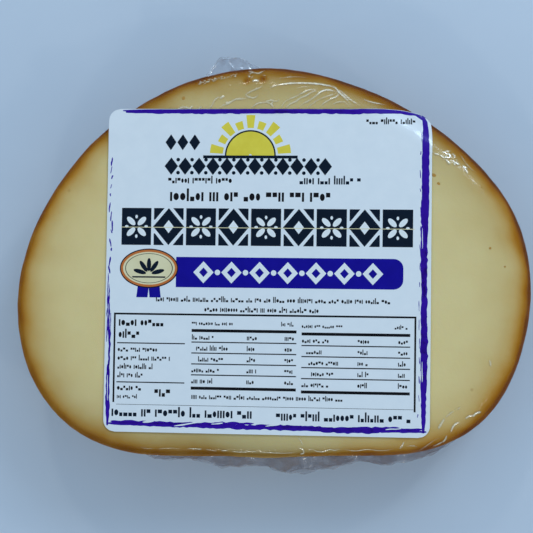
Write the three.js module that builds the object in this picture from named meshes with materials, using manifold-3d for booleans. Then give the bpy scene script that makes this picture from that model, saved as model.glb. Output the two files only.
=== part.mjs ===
// A slab of smoked provolone, sealed in clear shrink film, with a square paper label on its face.
//
// The slab is cut across a large loaf-shaped cheese. Seen from above it has a round arch at the
// back (+Y) and a flattened foot at the front (-Y). The film fits the slab like a skin, so film
// and slab are one solid here. Where the bag was closed, its spare film stands out from the side
// as a thin ruffled tail, a wide one at the front and a small one at the back.
//
// Units are millimetres and +Z is up. The slab lies on its lower cut face, at z = 0, and the
// label reads the right way up from the front.

import * as THREE from 'three';
import { ParametricGeometry } from 'three/addons/geometries/ParametricGeometry.js';
import { mergeVertices } from 'three/addons/utils/BufferGeometryUtils.js';
import Module from 'manifold-3d';

const DEGREE = Math.PI / 180;
const { clamp, lerp, smoothstep } = THREE.MathUtils;

// The outline is a mean circle with a few slow waves round it, about OUTLINE_CENTRE.
const OUTLINE_CENTRE = new THREE.Vector2(-0.1, -2.2);
const MEAN_RADIUS = 62.9;
const OUTLINE_WAVES = [
  { lobes: 2, cos: 8.7, sin: 0 }, // wider than it is deep
  { lobes: 3, cos: 0.4, sin: -3.8 }, // flat foot in front, round arch behind
  { lobes: 4, cos: -0.6, sin: 0.4 }, // fuller corners beside the foot
  { lobes: 6, cos: -0.4, sin: 0.2 }, // rounder sides
  { lobes: 7, cos: 0, sin: 0.4 }, // softer crown to the arch
];

// Up the side: cut face, shoulder, slightly bellied wall, shoulder, cut face.
const SLAB_HEIGHT = 33;
const BELLY = 0.3;
const FOOT_SHOULDER = 3.5;
const TOP_SHOULDER = 5.5;
const TOP_SHOULDER_SWING = 2.2;
const SLUMP_DIRECTION = 55 * DEGREE; // the top shoulder is widest, and the face lowest, this way
const FACE_FALL = 0.7; // drop of the top face at the mean radius, toward SLUMP_DIRECTION
const FACE_CROWN = 0.3; // rise of the top face at its middle
const SEGMENTS = 120;
const RINGS_PER_STRETCH = 5;

// Tails of spare film. Each lobe is a bell curve along X: where it is, how far it reaches out
// from the wall, and half its width. The span is the stretch of outline that the tail grows from.
const FILM_THICKNESS = 0.8;
const TAIL_ROOT = 2; // how deep a tail is let into the slab
const TAIL_HIDDEN = 0.6; // how far below the wall's surface a tail stays between its lobes
const TAIL_STEPS_OUT = 4;
const FRONT_TAIL = {
  from: -136 * DEGREE,
  to: -34 * DEGREE,
  height: 15,
  ruffle: 2.4,
  steps: 64,
  lobes: [
    { x: -31, reach: 4.4, half: 7 },
    { x: -10, reach: 6.6, half: 8 },
    { x: 9, reach: 8.1, half: 9 },
    { x: 28, reach: 4.9, half: 9 },
    { x: 44, reach: 3.4, half: 7 },
  ],
};
const BACK_TAIL = {
  from: 84 * DEGREE,
  to: 116 * DEGREE,
  height: 17,
  ruffle: 1.6,
  steps: 24,
  lobes: [
    { x: -13, reach: 6.2, half: 4.2 },
    { x: -6.5, reach: 4.2, half: 3.6 },
  ],
};
const RUFFLE_LENGTH = 13; // one ruffle of a tail, measured along X

// The label lies on the film, and wraps over the shoulder where it reaches it.
const LABEL_SIDE = 88.9;
const LABEL_CORNER = 3.2;
const LABEL_THICKNESS = 0.4;
const LABEL_GAP = 0.3;
const LABEL_OFFSET = new THREE.Vector2(-0.7, 0.7); // from OUTLINE_CENTRE
const LABEL_TURN = -0.75 * DEGREE;
const LABEL_STEPS = 28;
const LABEL_STIFFEST = 0.08; // share of the shoulder's bend that the left edge takes

const wasm = await Module();
wasm.setup();

// Radius of the slab's widest outline in the direction theta.
function outlineRadius(theta) {
  return OUTLINE_WAVES.reduce(
    (radius, wave) =>
      radius + wave.cos * Math.cos(wave.lobes * theta) + wave.sin * Math.sin(wave.lobes * theta),
    MEAN_RADIUS,
  );
}

function wallRadius(theta) {
  return outlineRadius(theta) - BELLY;
}

function topShoulder(theta) {
  return TOP_SHOULDER + TOP_SHOULDER_SWING * Math.cos(theta - SLUMP_DIRECTION);
}

// Radius at which the top face ends and its shoulder begins.
function faceRadius(theta) {
  return wallRadius(theta) - topShoulder(theta);
}

// Height of the top face: a low crown on a plane that falls toward SLUMP_DIRECTION.
function faceHeight(radius, theta) {
  const reach = radius / MEAN_RADIUS;
  const fall = FACE_FALL * reach * Math.cos(theta - SLUMP_DIRECTION);
  return SLAB_HEIGHT + FACE_CROWN * (1 - reach * reach) - fall;
}

// The stretches of the skin from the middle of the foot to the middle of the top face. Each
// takes its share of the way, 0 to 1, and gives the radius and height in the direction theta.
const SKIN_STRETCHES = [
  function footFace(theta, share) {
    return [share * (wallRadius(theta) - FOOT_SHOULDER), 0];
  },
  function footShoulder(theta, share) {
    const turn = (share * Math.PI) / 2;
    const inner = wallRadius(theta) - FOOT_SHOULDER;
    return [inner + FOOT_SHOULDER * Math.sin(turn), FOOT_SHOULDER * (1 - Math.cos(turn))];
  },
  function wall(theta, share) {
    const top = faceHeight(faceRadius(theta), theta) - topShoulder(theta);
    const radius = wallRadius(theta) + BELLY * Math.sin(share * Math.PI);
    return [radius, lerp(FOOT_SHOULDER, top, share)];
  },
  function upperShoulder(theta, share) {
    const turn = (share * Math.PI) / 2;
    const bend = topShoulder(theta);
    const face = faceRadius(theta);
    return [face + bend * Math.cos(turn), faceHeight(face, theta) - bend * (1 - Math.sin(turn))];
  },
  function topFace(theta, share) {
    const radius = (1 - share) * faceRadius(theta);
    return [radius, faceHeight(radius, theta)];
  },
];

function skinPoint(u, v, target) {
  const theta = 2 * Math.PI * u;
  const way = v * SKIN_STRETCHES.length;
  const stretch = Math.min(Math.floor(way), SKIN_STRETCHES.length - 1);
  const [radius, height] = SKIN_STRETCHES[stretch](theta, way - stretch);
  target.set(radius * Math.cos(theta), radius * Math.sin(theta), height);
}

function slabGeometry() {
  const rings = SKIN_STRETCHES.length * RINGS_PER_STRETCH;
  return new ParametricGeometry(skinPoint, SEGMENTS, rings);
}

// A thin sheet: a flat box whose upper and lower faces are split alike, with each corner moved
// by place(across, along, side, target). All three run from -1 to 1, and side is 1 on top.
function sheetGeometry(stepsAcross, stepsAlong, place) {
  const sheet = new THREE.BoxGeometry(2, 2, 2, stepsAcross, stepsAlong, 1);
  const corners = sheet.attributes.position;
  const corner = new THREE.Vector3();
  for (let i = 0; i < corners.count; i += 1) {
    corner.fromBufferAttribute(corners, i);
    place(corner.x, corner.y, corner.z, corner);
    corners.setXYZ(i, corner.x, corner.y, corner.z);
  }
  return sheet;
}

function tailReach(tail, x) {
  const bell = ({ x: middle, reach, half }) => reach * Math.exp(-(((x - middle) / half) ** 2));
  return tail.lobes.reduce((sum, lobe) => sum + bell(lobe), -TAIL_HIDDEN);
}

// A tail runs along the wall from `from` to `to`, and out from its root to its ruffled hem.
function tailGeometry(tail) {
  return sheetGeometry(tail.steps, TAIL_STEPS_OUT, (along, inward, side, target) => {
    const theta = lerp(tail.from, tail.to, (along + 1) / 2);
    const out = (1 - inward) / 2;
    const edge = outlineRadius(theta);
    const x = edge * Math.cos(theta);
    const radius = edge - TAIL_ROOT + out * (TAIL_ROOT + tailReach(tail, x));
    const wave = Math.sin((2 * Math.PI * x) / RUFFLE_LENGTH);
    const height = tail.height + tail.ruffle * out * wave + (side * FILM_THICKNESS) / 2;
    target.set(radius * Math.cos(theta), radius * Math.sin(theta), height);
  });
}

// Share of the shoulder's bend that the paper takes: little at the left, where it is stiff
// and stands off, and all of it at the right, where it is pressed down.
function paperShare(x) {
  return lerp(LABEL_STIFFEST, 1, smoothstep(x, -LABEL_SIDE / 3, LABEL_SIDE / 4));
}

// Puts the label's point (x, y) down on the slab, `lift` above its skin. Past the face's edge
// the paper keeps its length and bends down round an arc, then runs straight down.
function laidPoint(x, y, lift, target) {
  const theta = Math.atan2(y, x);
  const radius = Math.hypot(x, y);
  const edge = faceRadius(theta);
  const over = Math.max(radius - edge, 0);
  const bend = topShoulder(theta) / paperShare(x);
  const turn = Math.min(over / bend, Math.PI / 2);
  const straight = over - turn * bend;
  const reach = Math.min(radius, edge) + (bend + lift) * Math.sin(turn);
  const drop = bend - (bend + lift) * Math.cos(turn) + straight;
  const height = faceHeight(Math.min(radius, edge), theta) - drop;
  target.set(reach * Math.cos(theta), reach * Math.sin(theta), height);
}

// A square with round corners. Rows and columns crowd toward the edges, and each row is as
// wide as the outline there.
function labelGeometry() {
  const half = LABEL_SIDE / 2;
  return sheetGeometry(LABEL_STEPS, LABEL_STEPS, (across, along, side, target) => {
    const y = half * Math.sin((along * Math.PI) / 2);
    const intoCorner = clamp(Math.abs(y) - (half - LABEL_CORNER), 0, LABEL_CORNER);
    const roundedOff = LABEL_CORNER - Math.sqrt(LABEL_CORNER ** 2 - intoCorner ** 2);
    const x = (half - roundedOff) * Math.sin((across * Math.PI) / 2);
    const turned = new THREE.Vector2(x, y)
      .rotateAround(new THREE.Vector2(), LABEL_TURN)
      .add(LABEL_OFFSET);
    const lift = LABEL_GAP + (LABEL_THICKNESS * (side + 1)) / 2;
    laidPoint(turned.x, turned.y, lift, target);
  });
}

// Joins shared corners and drops the triangles that close up to a line at a pole.
function toManifold(geometry) {
  const bare = geometry.clone();
  bare.deleteAttribute('normal');
  bare.deleteAttribute('uv');
  const welded = mergeVertices(bare, 1e-4);
  const corners = welded.index.array;
  const triangles = [];
  for (let i = 0; i < corners.length; i += 3) {
    const [a, b, c] = corners.slice(i, i + 3);
    if (a !== b && b !== c && c !== a) triangles.push(a, b, c);
  }
  return new wasm.Manifold(
    new wasm.Mesh({
      numProp: 3,
      vertProperties: Float32Array.from(welded.attributes.position.array),
      triVerts: Uint32Array.from(triangles),
    }),
  );
}

function toGeometry(solid) {
  const mesh = solid.getMesh();
  const geometry = new THREE.BufferGeometry();
  geometry.setAttribute('position', new THREE.BufferAttribute(mesh.vertProperties, mesh.numProp));
  geometry.setIndex(new THREE.BufferAttribute(mesh.triVerts, 1));
  geometry.computeVertexNormals();
  return geometry;
}

function wrappedCheese() {
  const solid = [FRONT_TAIL, BACK_TAIL].reduce(
    (joined, tail) => joined.add(toManifold(tailGeometry(tail))),
    toManifold(slabGeometry()),
  );
  const material = new THREE.MeshStandardMaterial({ color: 0xdcc589, roughness: 0.2, metalness: 0 });
  const mesh = new THREE.Mesh(toGeometry(solid), material);
  mesh.name = 'wrapped_cheese';
  return mesh;
}

function label() {
  const material = new THREE.MeshStandardMaterial({ color: 0xeff1f0, roughness: 0.45, metalness: 0 });
  const mesh = new THREE.Mesh(toGeometry(toManifold(labelGeometry())), material);
  mesh.name = 'label';
  return mesh;
}

const group = new THREE.Group();
group.add(wrappedCheese(), label());
group.position.set(OUTLINE_CENTRE.x, OUTLINE_CENTRE.y, 0);

export default group;
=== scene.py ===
"""A slab of smoked provolone, sealed in clear shrink film, with a printed paper label.

Shapes are worked out in millimetres along the frame's axes, as whole numpy arrays, and are
made in metres. The slab's outline keeps within about half a millimetre of the frame's solid.
"""

from __future__ import annotations

import logging
import math
from dataclasses import dataclass, field
from enum import Enum

import bpy
import numpy as np
from mathutils import Matrix, Vector


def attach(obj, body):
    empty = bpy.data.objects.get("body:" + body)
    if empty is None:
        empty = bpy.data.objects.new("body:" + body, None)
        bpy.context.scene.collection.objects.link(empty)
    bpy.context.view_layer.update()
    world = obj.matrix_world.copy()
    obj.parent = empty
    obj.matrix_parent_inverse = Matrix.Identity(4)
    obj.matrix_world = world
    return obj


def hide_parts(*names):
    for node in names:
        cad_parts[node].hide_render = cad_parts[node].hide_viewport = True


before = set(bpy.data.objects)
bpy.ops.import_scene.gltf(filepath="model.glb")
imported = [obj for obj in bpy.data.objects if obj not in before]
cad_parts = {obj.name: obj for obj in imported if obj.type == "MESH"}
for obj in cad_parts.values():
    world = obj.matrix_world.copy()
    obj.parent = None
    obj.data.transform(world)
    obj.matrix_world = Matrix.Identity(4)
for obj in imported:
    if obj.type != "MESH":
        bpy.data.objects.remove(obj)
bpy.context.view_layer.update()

log = logging.getLogger("provolone")
MM = 0.001
TAU = 2 * math.pi
BODY = "root"
PAPER_CREASE = math.radians(50)


# ---------------------------------------------------------------- mesh and noise


def paint(code: str) -> tuple[float, float, float, float]:
    """Turns a screen colour such as "#e3cb8a" into the linear colour that a shader takes.

    Args:
        code: Six hexadecimal digits after a hash sign.

    Returns:
        Linear red, green and blue, and an alpha of 1.
    """
    screen = [int(code[i : i + 2], 16) / 255 for i in (1, 3, 5)]
    linear = [c / 12.92 if c <= 0.04045 else ((c + 0.055) / 1.055) ** 2.4 for c in screen]
    return (*linear, 1.0)


def bell(distance: np.ndarray, half: float) -> np.ndarray:
    """Bell curve: 1 where the distance is 0, and 1/e where it is the half width."""
    return np.exp(-((distance / half) ** 2))


def ease(value: np.ndarray, low: float, high: float) -> np.ndarray:
    """Smooth step: 0 up to low, 1 from high on, and 3t^2 - 2t^3 between."""
    t = np.clip((value - low) / (high - low), 0, 1)
    return t * t * (3 - 2 * t)


def angle_between(theta: np.ndarray, middle: float) -> np.ndarray:
    """Signed angle from a middle direction, wrapped to half a turn either way."""
    return (theta - middle + math.pi) % TAU - math.pi


class Ripple:
    """Smooth seeded unevenness: the mean of plane cosine waves in scattered directions."""

    def __init__(self, seed: int, wavelength: float, waves: int = 20) -> None:
        """Draws the waves.

        Args:
            seed: Seed of the draw.
            wavelength: Middle wavelength in millimetres; each wave is 0.6 to 1.5 times it.
            waves: Number of waves.
        """
        draw = np.random.default_rng(seed)
        heading = draw.normal(size=(waves, 3))
        heading /= np.linalg.norm(heading, axis=1, keepdims=True)
        self.waves = heading * TAU / (wavelength * draw.uniform(0.6, 1.5, (waves, 1)))
        self.phases = draw.uniform(0, TAU, waves)

    def at(self, points: np.ndarray) -> np.ndarray:
        """Value at points, about -1 to 1: the sum of cos(wave . point + phase) / sqrt(2 waves)."""
        total = np.cos(points @ self.waves.T + self.phases).sum(-1)
        return total / math.sqrt(len(self.phases) * 2)

    def crests(self, points: np.ndarray) -> np.ndarray:
        """Sharp crests from 0 to 1, like pinched film: (1 - |value|) to the third power."""
        return np.clip(1 - np.abs(self.at(points)), 0, 1) ** 3


def grid_faces(rows: int, columns: int, wrap: bool = False) -> np.ndarray:
    """Quads of a grid of points, facing the side where columns run right and rows run up.

    Args:
        rows: Rows of points.
        columns: Points in a row.
        wrap: Whether the last column joins the first.

    Returns:
        One row of four point numbers for each quad.
    """
    i, j = np.meshgrid(np.arange(rows - 1), np.arange(columns - (not wrap)), indexing="ij")
    k = (j + 1) % columns
    corners = [i * columns + j, i * columns + k, (i + 1) * columns + k, (i + 1) * columns + j]
    return np.stack(corners, -1).reshape(-1, 4)


@dataclass
class Shape:
    """Points in millimetres with quads and triangles, and values that belong to the points."""

    points: np.ndarray
    quads: np.ndarray
    triangles: np.ndarray = field(default_factory=lambda: np.zeros((0, 3), int))
    values: dict[str, np.ndarray] = field(default_factory=dict)


def closed_skin(rings: np.ndarray) -> Shape:
    """Closes a stack of rings into a skin, with each end ring drawn together to one point.

    Args:
        rings: Points of shape (rings, points in a ring, 3), anticlockwise seen from the end.

    Returns:
        The closed shape.
    """
    count, around = rings.shape[:2]
    inner = rings[1:-1].reshape(-1, 3)
    points = np.vstack([rings[0].mean(0), inner, rings[-1].mean(0)])
    step = np.arange(around)
    after = (step + 1) % around
    top = 1 + (count - 3) * around
    first = np.stack([np.zeros_like(step), 1 + after, 1 + step], -1)
    last = np.stack([top + step, top + after, np.full_like(step, len(points) - 1)], -1)
    return Shape(points, 1 + grid_faces(count - 2, around, True), np.vstack([first, last]))


def thin_sheet(top: np.ndarray, under: np.ndarray, wrap: bool = False) -> Shape:
    """Closes two like grids of points into a thin sheet with a rim.

    Args:
        top: Upper points, of shape (rows, columns, 3).
        under: Lower points, of the same shape.
        wrap: Whether the sheet is a ring, with row 0 on its outside.

    Returns:
        The closed sheet.
    """
    rows, columns = top.shape[:2]
    count = rows * columns
    number = np.arange(count).reshape(rows, columns)
    if wrap:
        loops = [np.append(number[0], number[0, 0]), np.append(number[-1], number[-1, 0])[::-1]]
    else:
        loops = [np.concatenate([number[0], number[1:, -1], number[-1, -2::-1], number[-2::-1, 0]])]
    rims = [
        np.stack([loop[:-1] + count, loop[1:] + count, loop[1:], loop[:-1]], -1) for loop in loops
    ]
    upper = grid_faces(rows, columns, wrap)
    quads = np.vstack([upper, upper[:, ::-1] + count, *rims])
    return Shape(np.vstack([top.reshape(-1, 3), under.reshape(-1, 3)]), quads)


def joined(shapes: list[Shape]) -> Shape:
    """Puts several shapes, with the same kinds of values, into one.

    Args:
        shapes: Shapes to join, at least one.

    Returns:
        One shape with all their points, faces and values.
    """
    starts = np.cumsum([0] + [len(shape.points) for shape in shapes[:-1]])
    kinds = shapes[0].values
    return Shape(
        np.vstack([shape.points for shape in shapes]),
        np.vstack([shape.quads + start for shape, start in zip(shapes, starts)]),
        np.vstack([shape.triangles + start for shape, start in zip(shapes, starts)]),
        {kind: np.concatenate([shape.values[kind] for shape in shapes]) for kind in kinds},
    )


def make_piece(
    name: str,
    shape: Shape,
    material: bpy.types.Material,
    node: str,
    crease_angle: float | None = None,
) -> bpy.types.Object:
    """Makes a smooth-shaded piece at the origin that stands for a node of the frame.

    Args:
        name: Name of the piece.
        shape: Its points and faces, in millimetres.
        material: Its finish.
        node: Node of the frame that it replaces.
        crease_angle: Edges that turn by more than this stay sharp; None keeps all smooth.

    Returns:
        The new object.
    """
    mesh = bpy.data.meshes.new(name)
    faces = shape.quads.tolist() + shape.triangles.tolist()
    mesh.from_pydata((shape.points * MM).tolist(), [], faces)
    mesh.polygons.foreach_set("use_smooth", np.ones(len(mesh.polygons), bool))
    if crease_angle is not None:
        mesh.set_sharp_from_angle(angle=crease_angle)
    for label, values in shape.values.items():
        mesh.attributes.new(label, "FLOAT", "POINT").data.foreach_set("value", values.ravel())
    mesh.materials.append(material)
    mesh.update()
    piece = bpy.data.objects.new(name, mesh)
    bpy.context.collection.objects.link(piece)
    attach(piece, BODY)
    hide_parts(node)
    log.info("%s: %d faces", name, len(mesh.polygons))
    return piece


# ---------------------------------------------------------------- the slab's form


@dataclass(frozen=True)
class SlabForm:
    """Form of the wrapped slab: a polar outline and a rounded side, in millimetres.

    The outline's radius is a mean circle with a few slow waves round it. Each wave is
    (lobes, cosine part, sine part). The second makes the slab wider than deep, the third
    gives it a flat foot and a round arch, and the others are slight unevenness.
    """

    centre: tuple[float, float] = (-0.1, -2.2)
    mean_radius: float = 63.05
    waves: tuple[tuple[int, float, float], ...] = (
        (1, -0.1, 0.25),
        (2, 8.7, 0.0),
        (3, 0.4, -3.8),
        (4, -0.6, 0.4),
        (6, -0.4, 0.2),
        (7, 0.0, 0.4),
        (8, 0.2, 0.1),
    )
    height: float = 33.0
    belly: float = 0.3
    foot_shoulder: float = 3.5
    top_shoulder: float = 5.5
    top_shoulder_swing: float = 2.2
    slump: float = math.radians(55)
    face_fall: float = 0.7
    face_crown: float = 0.3

    def outline(self, theta: np.ndarray) -> np.ndarray:
        """Widest radius: the mean plus each wave's cosine and sine at its number of lobes."""
        parts = [c * np.cos(k * theta) + s * np.sin(k * theta) for k, c, s in self.waves]
        return self.mean_radius + sum(parts)

    def wall(self, theta: np.ndarray) -> np.ndarray:
        """Radius at the ends of the wall, a belly's depth inside the outline."""
        return self.outline(theta) - self.belly

    def shoulder(self, theta: np.ndarray) -> np.ndarray:
        """Radius of the top shoulder's bend, widest toward the slump."""
        return self.top_shoulder + self.top_shoulder_swing * np.cos(theta - self.slump)

    def face_edge(self, theta: np.ndarray) -> np.ndarray:
        """Radius at which the top face ends and its shoulder begins."""
        return self.wall(theta) - self.shoulder(theta)

    def face_height(self, radius: np.ndarray, theta: np.ndarray) -> np.ndarray:
        """Height of the top face: a low crown on a plane that falls toward the slump.

        Args:
            radius: Distance from the outline's centre.
            theta: Direction from it.

        Returns:
            Height above the floor.
        """
        reach = radius / self.mean_radius
        fall = self.face_fall * reach * np.cos(theta - self.slump)
        return self.height + self.face_crown * (1 - reach**2) - fall

    def skin(self, theta: np.ndarray, way: np.ndarray) -> tuple[np.ndarray, ...]:
        """Section of the slab from the middle of its foot to the middle of its top face.

        The way runs 0 to 1 out along the foot, to 2 round the foot's shoulder, to 3 up the
        bellied wall, to 4 round the top shoulder, and to 5 in along the top face.

        Args:
            theta: Direction from the outline's centre.
            way: Place along the section.

        Returns:
            Radius, height, and the outward direction's radial and upward parts.
        """
        stretch = np.clip(np.floor(way), 0, 4).astype(int)
        share = way - stretch
        wall, bend, edge = self.wall(theta), self.shoulder(theta), self.face_edge(theta)
        top, turn = self.face_height(edge, theta), share * math.pi / 2
        sine, cosine, foot = np.sin(turn), np.cos(turn), self.foot_shoulder
        inward = (1 - share) * edge
        radius = np.choose(
            stretch,
            [
                share * (wall - foot),
                wall - foot * (1 - sine),
                wall + self.belly * np.sin(share * math.pi),
                edge + bend * cosine,
                inward,
            ],
        )
        height = np.choose(
            stretch,
            [
                0 * share,
                foot * (1 - cosine),
                foot + (top - bend - foot) * share,
                top - bend * (1 - sine),
                self.face_height(inward, theta),
            ],
        )
        out = np.choose(stretch, [0 * share, sine, 1 + 0 * share, cosine, 0 * share])
        up = np.choose(stretch, [share * 0 - 1, -cosine, 0 * share, sine, 1 + 0 * share])
        return radius, height, out, up

    def place(self, radius: np.ndarray, theta: np.ndarray, height: np.ndarray) -> np.ndarray:
        """Points of the frame from polar places about the outline's centre.

        Args:
            radius: Distance from the outline's centre.
            theta: Direction from it.
            height: Height above the floor.

        Returns:
            Points with a last axis of size 3.
        """
        x = self.centre[0] + radius * np.cos(theta)
        y = self.centre[1] + radius * np.sin(theta)
        return np.stack(np.broadcast_arrays(x, y, height), -1)

    def top_point(self, plan: np.ndarray, lift: np.ndarray) -> np.ndarray:
        """Points a little above the upper skin, straight over places given in plan.

        On the shoulder, the height is that of its quarter circle: with r the distance past
        the face's edge and w the bend, it is w - sqrt(w^2 - r^2) below the face.

        Args:
            plan: Places x, y from the outline's centre, last axis of size 2.
            lift: Height above the skin.

        Returns:
            Points with a last axis of size 3.
        """
        theta, radius = np.arctan2(plan[..., 1], plan[..., 0]), np.hypot(plan[..., 0], plan[..., 1])
        edge, bend = self.face_edge(theta), self.shoulder(theta)
        past = np.clip(radius - edge, 0, bend * 0.995)
        drop = bend - np.sqrt(bend**2 - past**2)
        height = self.face_height(np.minimum(radius, edge), theta) - drop
        sine = past / bend
        out, up = lift * sine, lift * np.sqrt(1 - sine**2)
        return self.place(np.minimum(radius, edge + past) + out, theta, height + up)


@dataclass(frozen=True)
class SkinGrid:
    """Fineness of a skin: points round it, and rings on each stretch of its section."""

    around: int
    foot: int
    foot_shoulder: int
    wall: int
    top_shoulder: int
    face: int

    def mesh_lines(self) -> tuple[np.ndarray, np.ndarray]:
        """Directions round the skin and places along its section, as a grid.

        Rings crowd toward the rim on both faces, as the share to the power 1.6 does.

        Returns:
            Directions and places, each of shape (rings, points in a ring).
        """
        crowd = 1.6
        shares = [
            1 - (1 - np.arange(self.foot) / self.foot) ** crowd,
            np.arange(self.foot_shoulder) / self.foot_shoulder,
            np.arange(self.wall) / self.wall,
            np.arange(self.top_shoulder) / self.top_shoulder,
            (np.arange(self.face + 1) / self.face) ** crowd,
        ]
        way = np.concatenate([stretch + share for stretch, share in enumerate(shares)])
        theta = np.arange(self.around) * TAU / self.around
        return np.meshgrid(theta, way)


# ---------------------------------------------------------------- shared shader effects


class NodeTree:
    """Small helper that adds nodes to a material or a node group and links them."""

    def __init__(self, tree: bpy.types.NodeTree) -> None:
        """Keeps the tree and clears it."""
        self.tree = tree
        tree.nodes.clear()

    def add(self, kind: str, **settings: object) -> bpy.types.Node:
        """Adds a node.

        Args:
            kind: Node type without the ShaderNode prefix.
            **settings: Properties of the node, or values of inputs named in full.

        Returns:
            The node.
        """
        node = self.tree.nodes.new(f"ShaderNode{kind}")
        for key, value in settings.items():
            if hasattr(node, key):
                setattr(node, key, value)
            else:
                node.inputs[key.replace("_", " ")].default_value = value
        return node

    def link(self, source: bpy.types.NodeSocket, target: bpy.types.NodeSocket) -> None:
        """Links an output to an input."""
        self.tree.links.new(source, target)

    def feed(self, value: bpy.types.NodeSocket | float | str, target: bpy.types.NodeSocket) -> None:
        """Gives an input an output, a number, or a screen colour.

        Args:
            value: Output, number, or code of a screen colour.
            target: Input that takes it.
        """
        if isinstance(value, bpy.types.NodeSocket):
            self.link(value, target)
        else:
            target.default_value = paint(value) if isinstance(value, str) else value

    def math(
        self, operation: str, *values: bpy.types.NodeSocket | float, clamp: bool = False
    ) -> bpy.types.NodeSocket:
        """Arithmetic on outputs and numbers.

        Args:
            operation: Operation of the Math node.
            *values: Outputs and numbers, in the order of the node's inputs.
            clamp: Whether the result stays within 0 to 1.

        Returns:
            The result.
        """
        node = self.add("Math", operation=operation, use_clamp=clamp)
        for value, target in zip(values, node.inputs):
            self.feed(value, target)
        return node.outputs[0]

    def attribute(self, name: str) -> bpy.types.NodeSocket:
        """A value that belongs to the mesh's points."""
        return self.add("Attribute", attribute_name=name).outputs["Fac"]

    def where(self) -> bpy.types.NodeSocket:
        """Object coordinates."""
        return self.add("TexCoord").outputs["Object"]

    def noise(self, scale: float, detail: float = 3.0, rough: float = 0.5) -> bpy.types.NodeSocket:
        """Noise of so many blotches to the metre, on object coordinates.

        Args:
            scale: Blotches to the metre.
            detail: Number of finer layers added to it.
            rough: Strength of each finer layer against the one before.

        Returns:
            The noise, about 0 to 1.
        """
        node = self.add("TexNoise", Scale=scale, Detail=detail, Roughness=rough)
        self.link(self.where(), node.inputs["Vector"])
        return node.outputs["Fac"]

    def ramp(
        self, factor: bpy.types.NodeSocket, stops: tuple[tuple[float, str], ...]
    ) -> bpy.types.NodeSocket:
        """Colour ramp.

        Args:
            factor: Value that chooses the colour.
            stops: Place and screen colour of each stop.

        Returns:
            The colour output.
        """
        node = self.add("ValToRGB")
        band = node.color_ramp
        while len(band.elements) < len(stops):
            band.elements.new(1.0)
        for element, (place, colour) in zip(band.elements, stops):
            element.position, element.color = place, paint(colour)
        self.link(factor, node.inputs["Fac"])
        return node.outputs["Color"]

    def range(
        self, value: bpy.types.NodeSocket, source: tuple[float, float], target: tuple[float, float]
    ) -> bpy.types.NodeSocket:
        """Maps a value from one range to another, clamped.

        Args:
            value: Output to map.
            source: Its values at the low and high end.
            target: What it gives at those ends.

        Returns:
            The mapped value.
        """
        node = self.add("MapRange")
        for name, number in zip(("From Min", "From Max", "To Min", "To Max"), source + target):
            node.inputs[name].default_value = number
        self.link(value, node.inputs["Value"])
        return node.outputs["Result"]

    def mix(
        self,
        factor: bpy.types.NodeSocket | float,
        first: bpy.types.NodeSocket | str,
        second: bpy.types.NodeSocket | str,
        blend: str = "MIX",
    ) -> bpy.types.NodeSocket:
        """Mixes two colours, each an output or a screen colour.

        Args:
            factor: How far the second colour is mixed in.
            first: Colour at a factor of 0.
            second: Colour mixed in.
            blend: Way of mixing.

        Returns:
            The mixed colour.
        """
        node = self.add("Mix", data_type="RGBA", blend_type=blend)
        for value, place in ((factor, 0), (first, 6), (second, 7)):
            self.feed(value, node.inputs[place])
        return node.outputs[2]

    def blend(
        self,
        share: bpy.types.NodeSocket | float,
        first: bpy.types.NodeSocket,
        second: bpy.types.NodeSocket,
    ) -> bpy.types.NodeSocket:
        """Mixes two surface shaders; the share is that of the second.

        Args:
            share: Share of the second shader.
            first: Shader at a share of 0.
            second: Shader at a share of 1.

        Returns:
            The mixed shader.
        """
        node = self.add("MixShader")
        for value, target in zip((share, first, second), node.inputs):
            self.feed(value, target)
        return node.outputs[0]

    def bump(
        self, height: bpy.types.NodeSocket, strength: float, distance: float
    ) -> bpy.types.NodeSocket:
        """Normal bent by a height, with the depth of its relief in metres.

        Args:
            height: Height of the relief, as a share of its depth.
            strength: How far the normal is bent.
            distance: Depth of the relief in metres.

        Returns:
            The bent normal.
        """
        node = self.add("Bump", Strength=strength, Distance=distance)
        self.link(height, node.inputs["Height"])
        return node.outputs["Normal"]


def new_group(name: str, inputs: dict[str, float], outputs: dict[str, str]) -> NodeTree:
    """Starts a shader node group.

    Args:
        name: Name of the group.
        inputs: Name and default of each number that it takes.
        outputs: Name and socket type of each value that it gives.

    Returns:
        The helper on the group's tree.
    """
    tree = bpy.data.node_groups.new(name, "ShaderNodeTree")
    for label, value in inputs.items():
        socket = tree.interface.new_socket(label, in_out="INPUT", socket_type="NodeSocketFloat")
        socket.default_value = value
    for label, kind in outputs.items():
        tree.interface.new_socket(label, in_out="OUTPUT", socket_type=kind)
    return NodeTree(tree)


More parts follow.
